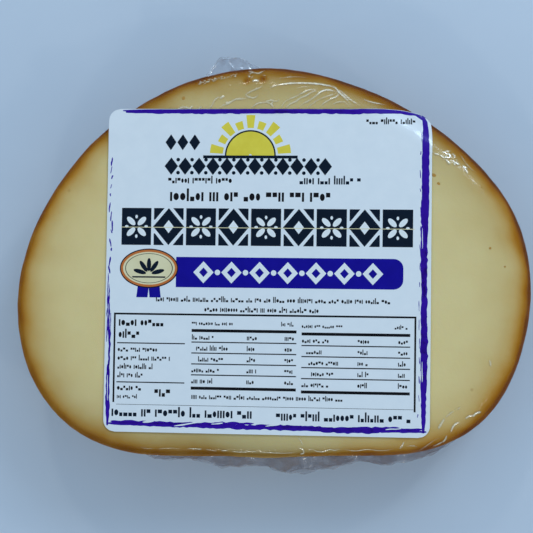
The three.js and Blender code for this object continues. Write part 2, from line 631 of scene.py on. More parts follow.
class Effects:
    """Shader effects that several finishes share, each a node group built once."""

    def __init__(self) -> None:
        """Builds the groups."""
        self.crinkle = self._crinkle()
        self.cloud = self._cloud()

    def _crinkle(self) -> bpy.types.NodeTree:
        """Fine crinkles of stretched film: ridged noise in two sizes, as a normal.

        Returns:
            The group's tree, which takes a fineness and a depth.
        """
        group = new_group("crinkle", {"Fineness": 260.0, "Depth": 0.4}, {"Normal": "NodeSocketVector"})
        taken = group.tree.nodes.new("NodeGroupInput")
        given = group.tree.nodes.new("NodeGroupOutput")
        noise = group.add("TexNoise", Detail=5.0, Roughness=0.55, Distortion=0.6)
        group.link(group.where(), noise.inputs["Vector"])
        group.link(taken.outputs["Fineness"], noise.inputs["Scale"])
        ridges = group.math("ABSOLUTE", group.math("SUBTRACT", noise.outputs["Fac"], 0.5))
        bump = group.add("Bump", Distance=0.0004)
        group.link(ridges, bump.inputs["Height"])
        group.link(taken.outputs["Depth"], bump.inputs["Strength"])
        group.link(bump.outputs["Normal"], given.inputs["Normal"])
        return group.tree

    def _cloud(self) -> bpy.types.NodeTree:
        """Soft blotches: noise stretched between two limits, as a value.

        Returns:
            The group's tree, which takes a scale and the two limits.
        """
        group = new_group(
            "cloud", {"Scale": 60.0, "Low": 0.0, "High": 1.0}, {"Value": "NodeSocketFloat"}
        )
        taken = group.tree.nodes.new("NodeGroupInput")
        given = group.tree.nodes.new("NodeGroupOutput")
        noise = group.add("TexNoise", Detail=4.0, Roughness=0.6)
        group.link(group.where(), noise.inputs["Vector"])
        group.link(taken.outputs["Scale"], noise.inputs["Scale"])
        spread = group.add("MapRange", From_Min=0.3, From_Max=0.7)
        group.link(noise.outputs["Fac"], spread.inputs["Value"])
        group.link(taken.outputs["Low"], spread.inputs["To Min"])
        group.link(taken.outputs["High"], spread.inputs["To Max"])
        group.link(spread.outputs["Result"], given.inputs["Value"])
        return group.tree

    def place(
        self, shader: NodeTree, effect: bpy.types.NodeTree, output: str, **values: float
    ) -> bpy.types.NodeSocket:
        """Puts an effect into a material with its own values and gives one of its outputs.

        Args:
            shader: Helper on the material's tree.
            effect: The effect's node group.
            output: Name of the output wanted.
            **values: Numbers for the group's inputs, by their names.

        Returns:
            The output of that name.
        """
        node = shader.tree.nodes.new("ShaderNodeGroup")
        node.node_tree = effect
        for label, value in values.items():
            node.inputs[label].default_value = value
        return node.outputs[output]


def start_material(name: str) -> tuple[bpy.types.Material, NodeTree, bpy.types.Node]:
    """A new material, the helper on its tree, and its output node.

    Args:
        name: Name of the material.

    Returns:
        The material, the helper and the output node.
    """
    material = bpy.data.materials.new(name)
    material.use_nodes = True
    shader = NodeTree(material.node_tree)
    return material, shader, shader.add("OutputMaterial")


# ---------------------------------------------------------------- finishes


@dataclass(frozen=True)
class CheeseFinish:
    """Cream paste that browns toward the smoked rind, with faint clouds and small specks.

    The colour follows the mesh's "smoke" value, 0 in the paste and 0.8 at the rind, and a
    second mesh value of painted shade, which darkens the face toward the front and in a few
    zones along the rim.
    """

    smoke_colours: tuple[tuple[float, str], ...] = (
        (0.0, "#edd79b"),
        (0.24, "#e3c88a"),
        (0.43, "#d6b06a"),
        (0.57, "#c9923c"),
        (0.66, "#b9771a"),
        (0.74, "#a35e0a"),
        (0.80, "#874504"),
        (1.0, "#562a03"),
    )
    # Colour of the painted shade, multiplied in where the mesh's shade value is high.
    painted_shade_colour: str = "#a8a8a4"
    speck: str = "#b98a48"
    roughness: float = 0.45
    rind_roughness: float = 0.6
    shine: float = 0.03
    milkiness: float = 0.15
    glow_depth: tuple[float, float, float] = (0.003, 0.0016, 0.0005)

    def build(self, effects: Effects) -> bpy.types.Material:
        """Makes the material.

        Args:
            effects: Shared shader effects.

        Returns:
            The material.
        """
        material, shader, output = start_material("smoked_paste")
        blotch = effects.place(shader, effects.cloud, "Value", Scale=95.0, Low=-0.045, High=0.045)
        smoke = shader.math("ADD", shader.attribute("smoke"), blotch, clamp=True)
        colour = shader.ramp(smoke, self.smoke_colours)
        cloud = effects.place(shader, effects.cloud, "Value", Scale=38.0, Low=0.0, High=0.35)
        colour = shader.mix(cloud, colour, "#f6ecd6", "MULTIPLY")
        # Painted shade: the colour is darkened by the mesh's shade value.
        colour = shader.mix(shader.attribute("painted_shade"), colour, self.painted_shade_colour, "MULTIPLY")
        pits = shader.add("TexVoronoi", Scale=120.0, Randomness=1.0)
        shader.link(shader.where(), pits.inputs["Vector"])
        speck = shader.range(pits.outputs["Distance"], (0.03, 0.07), (0.45, 0.0))
        colour = shader.mix(speck, colour, self.speck)
        paste = shader.add(
            "BsdfPrincipled",
            Specular_IOR_Level=self.shine,
            Subsurface_Weight=self.milkiness,
            Subsurface_Radius=self.glow_depth,
            Subsurface_Scale=1.0,
        )
        shader.link(colour, paste.inputs["Base Color"])
        rough = shader.range(smoke, (0.4, 0.8), (self.roughness, self.rind_roughness))
        shader.link(rough, paste.inputs["Roughness"])
        grain = shader.bump(shader.noise(900.0, 4.0, 0.6), 0.25, 0.0002)
        shader.link(grain, paste.inputs["Normal"])
        shader.link(paste.outputs[0], output.inputs["Surface"])
        return material


@dataclass(frozen=True)
class FilmFinish:
    """Clear film: it lets most of the light through, tinted, and gleams most at a glance.

    The glossy share is 0.04 times the gleam, plus the rim share times (1 - cosine of the
    view) to the fourth power, which is the same from both sides of the film. Where the
    mesh's "fold" value to the power 1.8 says so, the film is folded on itself: it shows a
    pale diffuse colour, partly the milkiness of folded film and partly a painted highlight
    along the fold, and it is shiny.
    """

    name: str
    tint: str
    gloss: float
    gleam: float
    rim: float
    fineness: float
    depth: float
    # Pale colour of folded film, partly a painted highlight along the folds.
    fold_and_highlight_colour: str = "#ffe8ae"
    fold_gloss: float = 0.22
    fold_gleam: float = 0.42
    fold_power: float = 1.8

    def build(self, effects: Effects) -> bpy.types.Material:
        """Makes the material: a clear and a glossy shader, mixed by the glossy share.

        Args:
            effects: Shared shader effects.

        Returns:
            The material.
        """
        material, shader, output = start_material(self.name)
        normal = effects.place(
            shader, effects.crinkle, "Normal", Fineness=self.fineness, Depth=self.depth
        )
        clear = shader.add("BsdfTransparent", Color=paint(self.tint))
        glossy = shader.add("BsdfGlossy", Roughness=self.gloss)
        shader.link(normal, glossy.inputs["Normal"])
        facing = shader.add("LayerWeight", Blend=0.5)
        shader.link(normal, facing.inputs["Normal"])
        edge = shader.math("POWER", facing.outputs["Facing"], 4.0)
        glance = shader.math("MULTIPLY_ADD", edge, self.rim, 0.04 * self.gleam)
        skin = shader.blend(glance, clear.outputs[0], glossy.outputs[0])
        # Folds: a pale diffuse colour, partly a painted highlight, mixed with a real gloss.
        milky_and_highlight = shader.add("BsdfDiffuse", Color=paint(self.fold_and_highlight_colour))
        shine = shader.add("BsdfGlossy", Roughness=self.fold_gloss)
        folded = shader.blend(self.fold_gleam, milky_and_highlight.outputs[0], shine.outputs[0])
        fold = shader.math("POWER", shader.attribute("fold"), self.fold_power, clamp=True)
        shader.link(shader.blend(fold, skin, folded), output.inputs["Surface"])
        return material


@dataclass(frozen=True)
class PaperFinish:
    """Coated paper or ink on it: an even colour with a faint tooth, cloud and coat."""

    name: str
    colour: str
    shade: str
    roughness: float = 0.4
    coat: float = 0.25
    coat_roughness: float = 0.12
    shine: float = 0.3

    def build(self, effects: Effects) -> bpy.types.Material:
        """Makes the material.

        Args:
            effects: Shared shader effects.

        Returns:
            The material.
        """
        material, shader, output = start_material(self.name)
        cloud = effects.place(shader, effects.cloud, "Value", Scale=240.0, Low=0.0, High=1.0)
        colour = shader.mix(cloud, self.colour, self.shade)
        paper = shader.add(
            "BsdfPrincipled",
            Specular_IOR_Level=self.shine,
            Coat_Weight=self.coat,
            Coat_Roughness=self.coat_roughness,
        )
        shader.link(colour, paper.inputs["Base Color"])
        span = (self.roughness - 0.05, self.roughness + 0.08)
        rough = shader.range(shader.noise(500.0), (0.3, 0.7), span)
        shader.link(rough, paper.inputs["Roughness"])
        tooth = shader.bump(shader.noise(3200.0, 2.0), 0.12, 0.00004)
        shader.link(tooth, paper.inputs["Normal"])
        shader.link(paper.outputs[0], output.inputs["Surface"])
        return material


# ---------------------------------------------------------------- the cheese


@dataclass
class Cheese:
    """The slab itself: its cut faces, rounded shoulders and browned rind."""

    form: SlabForm
    inset: float = 0.02
    grid: SkinGrid = SkinGrid(600, 10, 8, 22, 26, 44)
    # Painted shade, darker toward the front and in a few zones along the rim: direction and spread in
    # degrees, depth in from the wall, amount.
    painted_shade_zones: tuple[tuple[float, float, float, float], ...] = (
        (-108.0, 48.0, 9.0, 0.84),
        (92.0, 26.0, 12.0, 0.5),
        (50.0, 24.0, 7.0, 0.6),
        (128.0, 14.0, 7.0, 0.4),
        (22.0, 36.0, 30.0, 0.14),
    )
    smoke_peak: float = 1.2
    smoke_floor: float = 0.09
    smoke_depth: float = 7.6
    smoke_full: float = 1.25
    front_haste: float = 2.2
    front_middle: float = math.radians(-88)
    front_spread: float = math.radians(18)
    face_waviness: float = 0.08
    rind_waviness: float = 0.16
    stains: tuple[tuple[float, float, float, float], ...] = (
        (-6.3, 53.3, 1.1, 0.88),
        (-1.9, 53.8, 1.3, 0.93),
        (38.0, -46.5, 6.0, 0.62),
    )

    def front(self, theta: np.ndarray) -> np.ndarray:
        """Nearness to the middle of the front, 1 there, where the rind is a narrow band."""
        return bell(angle_between(theta, self.front_middle), self.front_spread)

    def smoke(self, inward: np.ndarray, theta: np.ndarray, uneven: np.ndarray) -> np.ndarray:
        """How smoked the cheese is at a depth in from its wall.

        It is 1.2 exp(-depth / 7.6 mm) - 0.09, faster at the front, and a dark crust is added
        on the outermost 1.5 mm. At most it is 0.97 + 0.09 sin t + 0.08 cos t, and 0.18 less
        in the middle of the front.

        Args:
            inward: Depth in from the wall, in plan.
            theta: Direction from the outline's centre.
            uneven: A wave of about -1 to 1 that makes the depth uneven.

        Returns:
            The smoke, 0 for none and 1 for a brown rind.
        """
        front = self.front(theta)
        depth = self.smoke_depth * (1 + 0.14 * uneven)
        fade = np.exp(-inward * (1 + self.front_haste * front) / depth)
        crust = (0.1 + 0.22 * front) * (1 - ease(inward, 0.7, 1.5))
        limit = 0.97 + 0.09 * np.sin(theta) + 0.08 * np.cos(theta) - 0.18 * front
        return np.minimum(self.smoke_peak * fade - self.smoke_floor + crust, limit)

    def build(self, finish: CheeseFinish, effects: Effects) -> bpy.types.Object:
        """Makes the slab, set in under the film, with its smoke and painted shade values on the mesh.

        Args:
            finish: Finish of the cheese.
            effects: Shared shader effects.

        Returns:
            The slab's object.
        """
        theta, way = self.grid.mesh_lines()
        radius, height, out, up = self.form.skin(theta, way)
        base = self.form.place(radius, theta, height)
        slow, quick = Ripple(3, 26.0).at(base), Ripple(4, 5.0).at(base)
        side = np.abs(out)
        relief = (0.6 * slow + 0.4 * quick) * (
            self.face_waviness + (self.rind_waviness - self.face_waviness) * side
        )
        lift = np.minimum(relief, 0.1) - self.inset
        lift = np.where(way < 1.999, -self.inset, lift)
        rings = self.form.place(radius + out * lift, theta, height + up * lift)
        inward = self.form.wall(theta) - radius
        smoke = self.smoke(inward, theta, Ripple(5, 14.0).at(base))
        smoke = smoke + 0.05 * side * Ripple(6, 7.0).at(base)
        for x, y, size, level in self.stains:
            middle = np.add(self.form.centre, (x, y))
            away = np.linalg.norm(base[..., :2] - middle, axis=-1)
            smoke = smoke + np.maximum(level - smoke, 0) * bell(away, size) * (way > 2.5)
        smoke = np.clip(smoke, 0, self.smoke_full) / self.smoke_full
        # Painted shade on the face and top shoulder, fading with depth in from the wall.
        painted_shade = 0 * theta
        for middle, spread, depth, amount in self.painted_shade_zones:
            zone = bell(angle_between(theta, math.radians(middle)), math.radians(spread))
            painted_shade += amount * zone * np.exp(-inward / depth) * ease(way, 3.0, 3.6)
        shape = closed_skin(rings)
        for name, value in (("smoke", smoke), ("painted_shade", painted_shade)):
            shape.values[name] = np.concatenate([value[0, :1], value[1:-1].ravel(), value[-1, :1]])
        return make_piece("cheese", shape, finish.build(effects), "wrapped_cheese")


@dataclass
class Specks:
    """Small browned crumbs of the rind on the face: (x, y, size, amount of stretch)."""

    form: SlabForm
    places: tuple[tuple[float, float, float, float], ...] = (
        (-23.9, 48.6, 1.1, 1.0),
        (44.6, 26.6, 0.9, 1.5),
        (45.9, 24.3, 0.7, 1.4),
        (59.6, 6.7, 0.65, 1.0),
        (57.5, 23.3, 0.35, 1.0),
        (63.5, 1.7, 0.5, 1.1),
        (-58.6, 17.0, 0.35, 1.0),
    )
    turn: float = math.radians(-25)
    rise: float = 0.06

    def build(self) -> bpy.types.Object:
        """Makes every speck as a low dome, all of them one piece.

        Returns:
            The object that holds all the specks.
        """
        shapes = []
        for x, y, size, stretch in self.places:
            plan = disc(0, 0, size * stretch, size, 12)
            middle = np.hypot(plan[..., 0] / stretch, plan[..., 1]) / (size / 2)
            plan = turned(plan, math.degrees(self.turn), x, y)
            top = self.form.top_point(plan, self.rise * np.clip(1 - middle**2, 0, 1))
            shapes.append(thin_sheet(top, self.form.top_point(plan, np.float64(-0.3))))
        material, shader, output = start_material("rind_speck")
        crumb = shader.add("BsdfPrincipled", Roughness=0.5)
        crumb.inputs["Base Color"].default_value = paint("#c08a30")
        shader.link(crumb.outputs[0], output.inputs["Surface"])
        return make_piece("rind_specks", joined(shapes), material, "wrapped_cheese")


# ---------------------------------------------------------------- the film


@dataclass(frozen=True)
class Crumple:
    """A patch where the film is puckered: its direction, spread, place and relief."""

    direction: float
    spread: float
    inward: float
    reach: float
    wavelength: float
    height: float
    seed: int


@dataclass(frozen=True)
class Crease:
    """A raised fold in the film along a smooth line through a few plan points."""

    points: np.ndarray
    width: float
    height: float


@dataclass(frozen=True)
class Puckers:
    """A band along the rim where the film is puckered into many short folds.

    Its directions are in degrees, and its place is the distance inward from the wall.
    """

    start: float
    end: float
    inward: float
    spread: float
    count: int
    length: float
    seed: int
    skew: float = 0.5


def smooth_line(points: np.ndarray, step: float) -> np.ndarray:
    """A Catmull-Rom curve through points, at about even steps.

    Between two points with neighbours a and d, it is half of 2b + (c - a)t +
    (2a - 5b + 4c - d)t^2 + (3b - a - 3c + d)t^3.

    Args:
        points: Points that the curve passes, one to a row.
        step: Distance between the points given back.

    Returns:
        Points of the curve.
    """
    ends = np.vstack([2 * points[0] - points[1], points, 2 * points[-1] - points[-2]])
    parts = []
    for a, b, c, d in zip(ends, ends[1:], ends[2:], ends[3:]):
        t = np.linspace(0, 1, 24, endpoint=False)[:, None]
        parts.append(
            (2 * b + (c - a) * t + (2 * a - 5 * b + 4 * c - d) * t**2 + (3 * b - a - 3 * c + d) * t**3)
            / 2
        )
    fine = np.vstack([*parts, points[-1:]])
    run = np.append(0, np.cumsum(np.linalg.norm(np.diff(fine, axis=0), axis=1)))
    even = np.linspace(0, run[-1], max(int(run[-1] / step), 6) + 1)
    return np.stack([np.interp(even, run, column) for column in fine.T], -1)


def distance_to_path(points: np.ndarray, path: np.ndarray) -> tuple[np.ndarray, np.ndarray]:
    """Distance of plan points from a path, and how far along it they lie.

    Args:
        points: Points, one to a row.
        path: Points of the path, one to a row.

    Returns:
        The distance to the nearest segment, and the share of the path's length there.
    """
    start, run = path[:-1], np.diff(path, axis=0)
    length = np.linalg.norm(run, axis=1)
    share = ((points[:, None] - start) * run).sum(-1) / length**2
    share = np.clip(share, 0, 1)
    away = np.linalg.norm(points[:, None] - start - share[..., None] * run, axis=-1)
    best = away.argmin(1)
    row = np.arange(len(points))
    before = np.append(0, np.cumsum(length))[best]
    return away[row, best], (before + share[row, best] * length[best]) / length.sum()


def crowded(
    start: float, end: float, count: int, zones: tuple[tuple[float, float, float], ...]
) -> np.ndarray:
    """Values from a start to an end that crowd in some zones.

    The values are even steps of the running sum of a density, which is 1 outside the zones.

    Args:
        start: First value.
        end: Last value.
        count: Number of values.
        zones: Low end, high end and density of each zone.

    Returns:
        The values, rising.
    """
    fine = np.linspace(start, end, 20000)
    density = np.ones_like(fine)
    for low, high, dense in zones:
        density += (dense - 1) * ease(fine, low - 0.01, low) * (1 - ease(fine, high, high + 0.01))
    run = np.cumsum(density)
    return np.interp(np.linspace(run[0], run[-1], count), run, fine)


@dataclass
class Film:
    """The shrink film: a shell on the slab with contour-like folds and puckered patches.

    The upper shell carries the folds, on a grid that is finest where they are. The lower
    shell covers the wall and the foot. Each is closed by a disc inside the cheese. A zone of
    the grid is (start, end, density) in degrees. A fold of the contours and dashes is its
    width, its height, and then the x and y of each point from the outline's centre.
    """

    form: SlabForm
    gap: float = 0.14
    wall_slack: float = 0.16
    wall_shine: float = 0.55
    seam: float = 2.96
    buried: float = 6.0
    fold_height: float = 0.085
    columns: int = 900
    zones: tuple[tuple[float, float, float], ...] = (
        (57, 117, 4.4),
        (27, 41, 4.4),
        (302, 342, 4.0),
        (230, 302, 3.6),
    )
    crumples: tuple[Crumple, ...] = (
        Crumple(math.radians(97), 0.34, 3.0, 4.0, 3.2, 0.05, 21),
        Crumple(math.radians(112), 0.16, 2.4, 2.2, 1.8, 0.07, 22),
        Crumple(math.radians(33), 0.10, 4.4, 2.6, 2.2, 0.08, 23),
        Crumple(math.radians(-41), 0.16, 3.6, 4.0, 2.6, 0.08, 24),
        Crumple(math.radians(-90), 0.62, 1.6, 1.6, 3.6, 0.04, 25),
        Crumple(math.radians(135), 0.10, 2.0, 2.0, 2.4, 0.04, 26),
    )
    contours: tuple[tuple[float, ...], ...] = (
        (0.8, 0.12, -0.9, 50.4, 1.3, 51.5, 4.5, 52.1, 8.2, 52.3, 11.8, 52.2, 15.0, 51.8, 17.7, 51.1,
         18.9, 49.7, 20.4, 48.2, 22.7, 45.6),
        (0.75, 0.11, -1.8, 52.0, -2.8, 51.1, -4.6, 50.4, -6.6, 49.2, -5.2, 48.4, -4.1, 48.4, -3.0,
         49.3),
        (0.75, 0.11, -5.9, 48.2, -7.8, 48.1, -9.6, 47.9, -11.4, 46.8, -13.0, 46.3, -13.9, 45.4),
        (0.9, 0.16, -12.2, 47.2, -11.4, 46.9, -10.8, 47.4),
        (0.75, 0.11, -16.8, 45.3, -15.9, 46.5, -15.5, 47.4, -14.8, 48.2, -13.7, 48.8),
        (0.9, 0.16, -13.7, 48.3, -13.1, 48.7, -12.5, 48.8),
        (0.8, 0.15, -22.4, 45.2, -21.9, 45.8, -21.3, 46.3),
        (0.6, 0.12, -19.6, 45.2, -19.2, 45.9, -18.6, 46.1),
        (0.75, 0.11, -5.2, 45.3, -4.1, 46.3, -2.8, 46.9, -0.9, 47.0, 0.4, 46.5, 1.1, 45.4),
        (0.8, 0.12, -1.4, 47.3, 0.4, 47.5, 2.0, 47.3, 2.6, 48.0),
        (0.7, 0.12, 1.1, 45.6, 0.4, 46.5, 1.0, 47.2),
        (0.75, 0.11, 3.2, 45.6, 4.1, 47.0, 5.4, 47.8, 7.3, 48.6, 9.1, 49.5, 10.9, 50.3, 12.9, 50.4),
        (0.8, 0.12, 4.3, 45.3, 5.7, 46.5, 7.3, 47.2, 8.4, 48.1, 10.0, 48.7, 11.8, 49.8, 12.9, 50.1),
        (0.75, 0.11, 7.9, 45.3, 9.1, 46.5, 10.9, 47.4, 12.7, 48.6, 14.1, 49.8, 15.9, 50.3, 17.7, 49.9,
         18.4, 49.2),
        (0.6, 0.09, 10.2, 45.2, 11.8, 46.5, 13.6, 47.7, 15.0, 48.2, 16.8, 48.8, 18.2, 49.2),
        (0.7, 0.11, 13.6, 45.4, 15.0, 46.7, 16.8, 47.7, 18.2, 48.3, 18.9, 49.3),
        (0.6, 0.09, 16.6, 45.8, 18.2, 46.7, 20.0, 46.9, 21.1, 46.3, 22.3, 45.4),
        (0.6, 0.09, 18.2, 50.8, 20.0, 49.5, 21.8, 47.7, 23.6, 46.5, 25.0, 45.4),
        (0.6, 0.09, 25.5, 47.8, 27.3, 47.0, 29.6, 46.5, 32.3, 46.0),
        (0.6, 0.08, -6.3, 55.2, -4.5, 55.5, -2.6, 55.1),
        (1.1, 0.1, -5.0, 53.0, -4.0, 53.2, -3.0, 53.0),
        (0.9, 0.14, -25.6, 45.4, -23.8, 46.0, -22.0, 45.6),
        (0.4, 0.06, 39.5, -48.4, 42.0, -46.6, 44.2, -45.0, 46.2, -44.0),
        (0.6, 0.06, 2.0, 53.6, 6.0, 54.2, 10.5, 54.0),
        (0.5, 0.06, 7.0, 50.6, 9.0, 51.2, 11.0, 51.2),
    )
    dashes: tuple[tuple[float, ...], ...] = (
        (0.8, 0.12, 44.6, 32.5, 45.3, 32.3, 46.0, 32.0),
        (0.8, 0.14, 46.2, 32.1, 46.8, 31.6, 47.3, 31.1),
        (0.6, 0.12, 47.9, 33.4, 48.5, 33.1, 49.2, 33.3),
        (0.7, 0.14, 48.3, 32.6, 49.0, 32.2, 49.4, 31.4),
        (0.7, 0.14, 47.6, 31.8, 48.3, 31.3, 49.2, 31.6),
        (0.6, 0.12, 49.6, 32.6, 50.2, 31.9, 50.4, 31.2),
        (0.9, 0.16, 47.9, 30.6, 48.6, 30.0, 48.9, 29.4),
        (0.7, 0.14, 50.5, 29.9, 51.1, 29.5, 51.6, 29.6),
        (0.7, 0.14, 52.4, 29.3, 53.0, 28.7, 53.8, 28.6),
        (0.8, 0.15, 52.9, 28.3, 53.4, 27.8, 53.5, 27.2),
        (0.5, 0.09, 51.8, 32.2, 53.2, 29.9, 54.5, 28.5, 55.9, 27.4),
        (0.5, 0.07, 43.8, 33.2, 44.6, 32.7, 45.4, 32.5),
        (0.9, 0.15, 45.4, -41.9, 46.4, -40.2, 47.2, -39.0),
        (0.7, 0.12, 47.4, -38.8, 48.6, -37.7, 49.6, -37.0),
        (0.5, 0.09, 49.8, -36.9, 50.9, -36.3, 52.0, -35.7),
        (0.8, 0.14, 48.7, -42.8, 49.4, -41.2, 50.1, -40.4, 51.2, -40.0),
        (0.8, 0.14, 52.6, -39.0, 53.6, -38.4, 54.6, -38.3),
        (0.9, 0.15, 54.6, -38.6, 55.4, -37.7, 56.9, -37.2),
        (0.6, 0.1, 44.1, -46.6, 45.7, -45.8, 46.6, -45.3),
        (0.8, 0.12, 46.5, -45.5, 47.2, -44.8, 47.7, -43.6),
        (0.5, 0.12, 35.0, -47.4, 35.8, -46.4, 36.3, -45.2),
        (0.36, 0.08, 37.0, -46.6, 38.6, -46.4, 40.0, -46.9),
        (0.8, 0.14, 59.0, -23.3, 59.4, -24.0, 59.4, -25.0),
        (0.6, 0.09, 7.4, -44.1, 8.6, -45.4, 9.1, -47.0),
        (0.5, 0.07, 2.2, -43.9, 3.4, -44.2, 4.6, -43.9),
        (0.6, 0.14, 8.0, -47.2, 9.0, -47.6, 9.2, -48.6, 8.2, -48.9),
        (0.42, 0.11, 10.4, -48.1, 11.3, -47.5, 12.8, -48.1, 14.5, -48.2, 16.3, -47.6, 17.7, -47.8, 19.6,
         -47.4),
        (0.4, 0.09, 19.8, -47.5, 23.0, -47.9, 26.5, -47.5, 30.0, -47.8, 33.5, -47.4),
        (0.32, 0.05, -35.6, -47.5, -33.5, -47.8, -31.5, -47.7),
        (0.34, 0.06, -31.0, -47.9, -27.5, -47.6, -24.1, -47.8),
        (0.42, 0.12, -22.6, -47.6, -20.3, -47.7, -18.4, -47.8),
        (0.42, 0.12, -17.4, -47.8, -15.8, -48.1, -14.4, -48.3),
        (0.45, 0.11, -13.2, -48.2, -12.2, -48.1, -11.3, -48.2),
        (0.36, 0.11, -10.5, -48.3, -7.8, -48.5, -5.2, -48.3, -3.1, -48.4),
        (0.34, 0.1, -3.1, -48.4, 0.6, -48.6, 3.7, -48.7, 7.2, -48.5),
    )
    puckers: tuple[Puckers, ...] = (
        Puckers(99, 110.5, 2.5, 0.5, 64, 0.6, 41, 0.7),
        Puckers(30, 35, 5.0, 1.6, 14, 1.0, 43, 1.3),
        Puckers(91, 97, 2.6, 0.9, 12, 0.9, 44, 1.2),
    )

    def pucker_lines(self, band: Puckers) -> list[Crease]:
        """Short folds of a band, each at a seeded place, turned a little from the rim.

        Args:
            band: Where the folds are, how many and how long.

        Returns:
            One crease for each fold.
        """
        draw = np.random.default_rng(band.seed)
        lines = []
        for _ in range(band.count):
            theta = math.radians(draw.uniform(band.start, band.end))
            radius = float(self.form.wall(np.float64(theta))) - band.inward
            radius += draw.uniform(-band.spread, band.spread)
            heading = theta + math.pi / 2 + draw.uniform(-band.skew, band.skew)
            half = band.length * draw.uniform(0.35, 0.7)
            middle = radius * np.array([math.cos(theta), math.sin(theta)])
            reach = half * np.array([math.cos(heading), math.sin(heading)])
            sag = draw.uniform(-0.15, 0.15) * np.array([math.cos(theta), math.sin(theta)])
            points = np.stack([middle - reach, middle + sag, middle + reach])
            lines.append(Crease(points, draw.uniform(0.32, 0.5), draw.uniform(0.05, 0.13)))
        return lines

    def folds(self, plan: np.ndarray) -> np.ndarray:
        """Height of the folds at plan points: the highest fold there.

        Across a fold, at u half widths from its line, the height is that of cos^2(u pi/2).
        Along it the height follows a sine to the power 0.5, and wavers by a third.

        Args:
            plan: Places from the outline's centre, last axis 2.

        Returns:
            Height at each place.
        """
        rows = self.contours + self.dashes
        lines = [Crease(np.reshape(row[2:], (-1, 2)), *row[:2]) for row in rows]
        for band in self.puckers:
            lines += self.pucker_lines(band)
        flat = plan.reshape(-1, 2)
        total = np.zeros(len(flat))
        waver = Ripple(47, 2.6)
        for line in lines:
            path = smooth_line(line.points, 0.25)
            low, high = path.min(0) - line.width, path.max(0) + line.width
            near = np.flatnonzero(((flat > low) & (flat < high)).all(1))
            if not len(near):
                continue
            away, along = distance_to_path(flat[near], path)
            size = np.sin(np.clip(along, 0, 1) * math.pi) ** 0.5
            size *= 1 + 0.35 * waver.at(np.append(flat[near], 0 * away[:, None], 1))
            arch = np.cos(np.clip(away / (line.width / 2), 0, 1) * math.pi / 2) ** 2
            total[near] = np.maximum(total[near], line.height * size * arch)
        return total.reshape(plan.shape[:-1])

    def pinches(self, base: np.ndarray, theta: np.ndarray, inward: np.ndarray) -> np.ndarray:
        """Height of the puckered patches: sharp crests under a bell along and across the rim.

        Args:
            base: Points of the skin.
            theta: Their directions from the outline's centre.
            inward: Their distances in from the wall.

        Returns:
            Height at each point.
        """
        total = np.zeros(theta.shape)
        for patch in self.crumples:
            mask = bell(angle_between(theta, patch.direction), patch.spread)
            mask = mask * bell(np.minimum(inward - patch.inward, 8), patch.reach)
            total += mask * patch.height * Ripple(patch.seed, patch.wavelength).crests(base)
        return total

    def skin(self, theta: np.ndarray, way: np.ndarray, lift: np.ndarray) -> np.ndarray:
        """Points of the slab's skin, raised by a lift."""
        radius, height, out, up = self.form.skin(theta, way)
        return self.form.place(radius + out * lift, theta, height + up * lift)

    def upper(self) -> Shape:
        """The upper shell, from a disc inside the cheese over the shoulder to the middle.

        Returns:
            The closed shell, with a fold value of 0 to 1 at each point.
        """
        turn = np.radians(crowded(0, 360, self.columns + 1, self.zones)[:-1])
        shoulder = np.linspace(self.seam, 4, 42)[:-1]
        face = 4 + crowded(0, 1, 62, ((0, 0.27, 16.0),))
        theta, way = np.meshgrid(turn, np.append(shoulder, face))
        radius, height, _, _ = self.form.skin(theta, way)
        base = self.form.place(radius, theta, height)
        plan = base[..., :2] - self.form.centre
        folds = self.folds(plan) * ease(way, 3.0, 3.2)
        lift = self.gap + self.pinches(base, theta, self.form.wall(theta) - radius) + folds
        rings = self.skin(theta, way, lift)
        inner = self.form.place(radius[0] * 0.5, theta[0], height[0] - self.buried)
        shape = closed_skin(np.concatenate([inner[None], inner[None], rings]))
        # Fold value: the finish paints the fold pale there, partly a painted highlight.
        fold = np.clip(folds / self.fold_height, 0, 1)
        blank = np.zeros(1 + len(theta[0]))
        shape.values["fold"] = np.concatenate([blank, fold[:-1].ravel(), fold[-1, :1]])
        return shape

    def lower(self) -> Shape:
        """The lower shell, from the middle of the foot up the wall to a disc inside.

        Returns:
            The closed shell, with a fold value of 0 to 1 at each point.
        """
        turn = np.arange(self.columns // 2) * TAU / (self.columns // 2)
        foot, bend = crowded(0, 1, 8, ())[:-1], np.linspace(1, 2, 10)[:-1]
        wall = np.linspace(2, self.seam, 34)
        theta, way = np.meshgrid(turn, np.concatenate([foot, bend, wall]))
        radius, height, _, _ = self.form.skin(theta, way)
        base = self.form.place(radius, theta, height) * (1.0, 1.0, 0.45)
        crests = Ripple(31, 6.0).crests(base)
        loose = ease(way, 1.9, 2.3) * (1 - ease(way, 2.8, self.seam))
        slack = self.wall_slack * crests * loose
        lift = np.where(way < 1, 0, self.gap * ease(way, 1.0, 1.5)) + slack
        rings = self.skin(theta, way, lift)
        inner = self.form.place(radius[-1] * 0.5, theta[0], height[-1] - self.buried)
        shape = closed_skin(np.concatenate([rings, inner[None], inner[None]]))
        # Crests of the slack wall film are painted pale and shiny through the fold value, partly a
        # painted highlight.
        fold = self.wall_shine * ease(crests, 0.8, 1.0) * loose
        blank = np.zeros(1 + len(theta[0]))
        shape.values["fold"] = np.concatenate([fold[0, :1], fold[1:].ravel(), blank])
        return shape

    def build(self, top: FilmFinish, wall: FilmFinish, effects: Effects) -> None:
        """Makes both shells, each with its finish.

        Args:
            top: Finish of the upper shell.
            wall: Finish of the lower shell.
            effects: Shared shader effects.
        """
        shells = (("film_top", self.upper(), top), ("film_wall", self.lower(), wall))
        for name, shape, finish in shells:
            make_piece(name, shape, finish.build(effects), "wrapped_cheese")


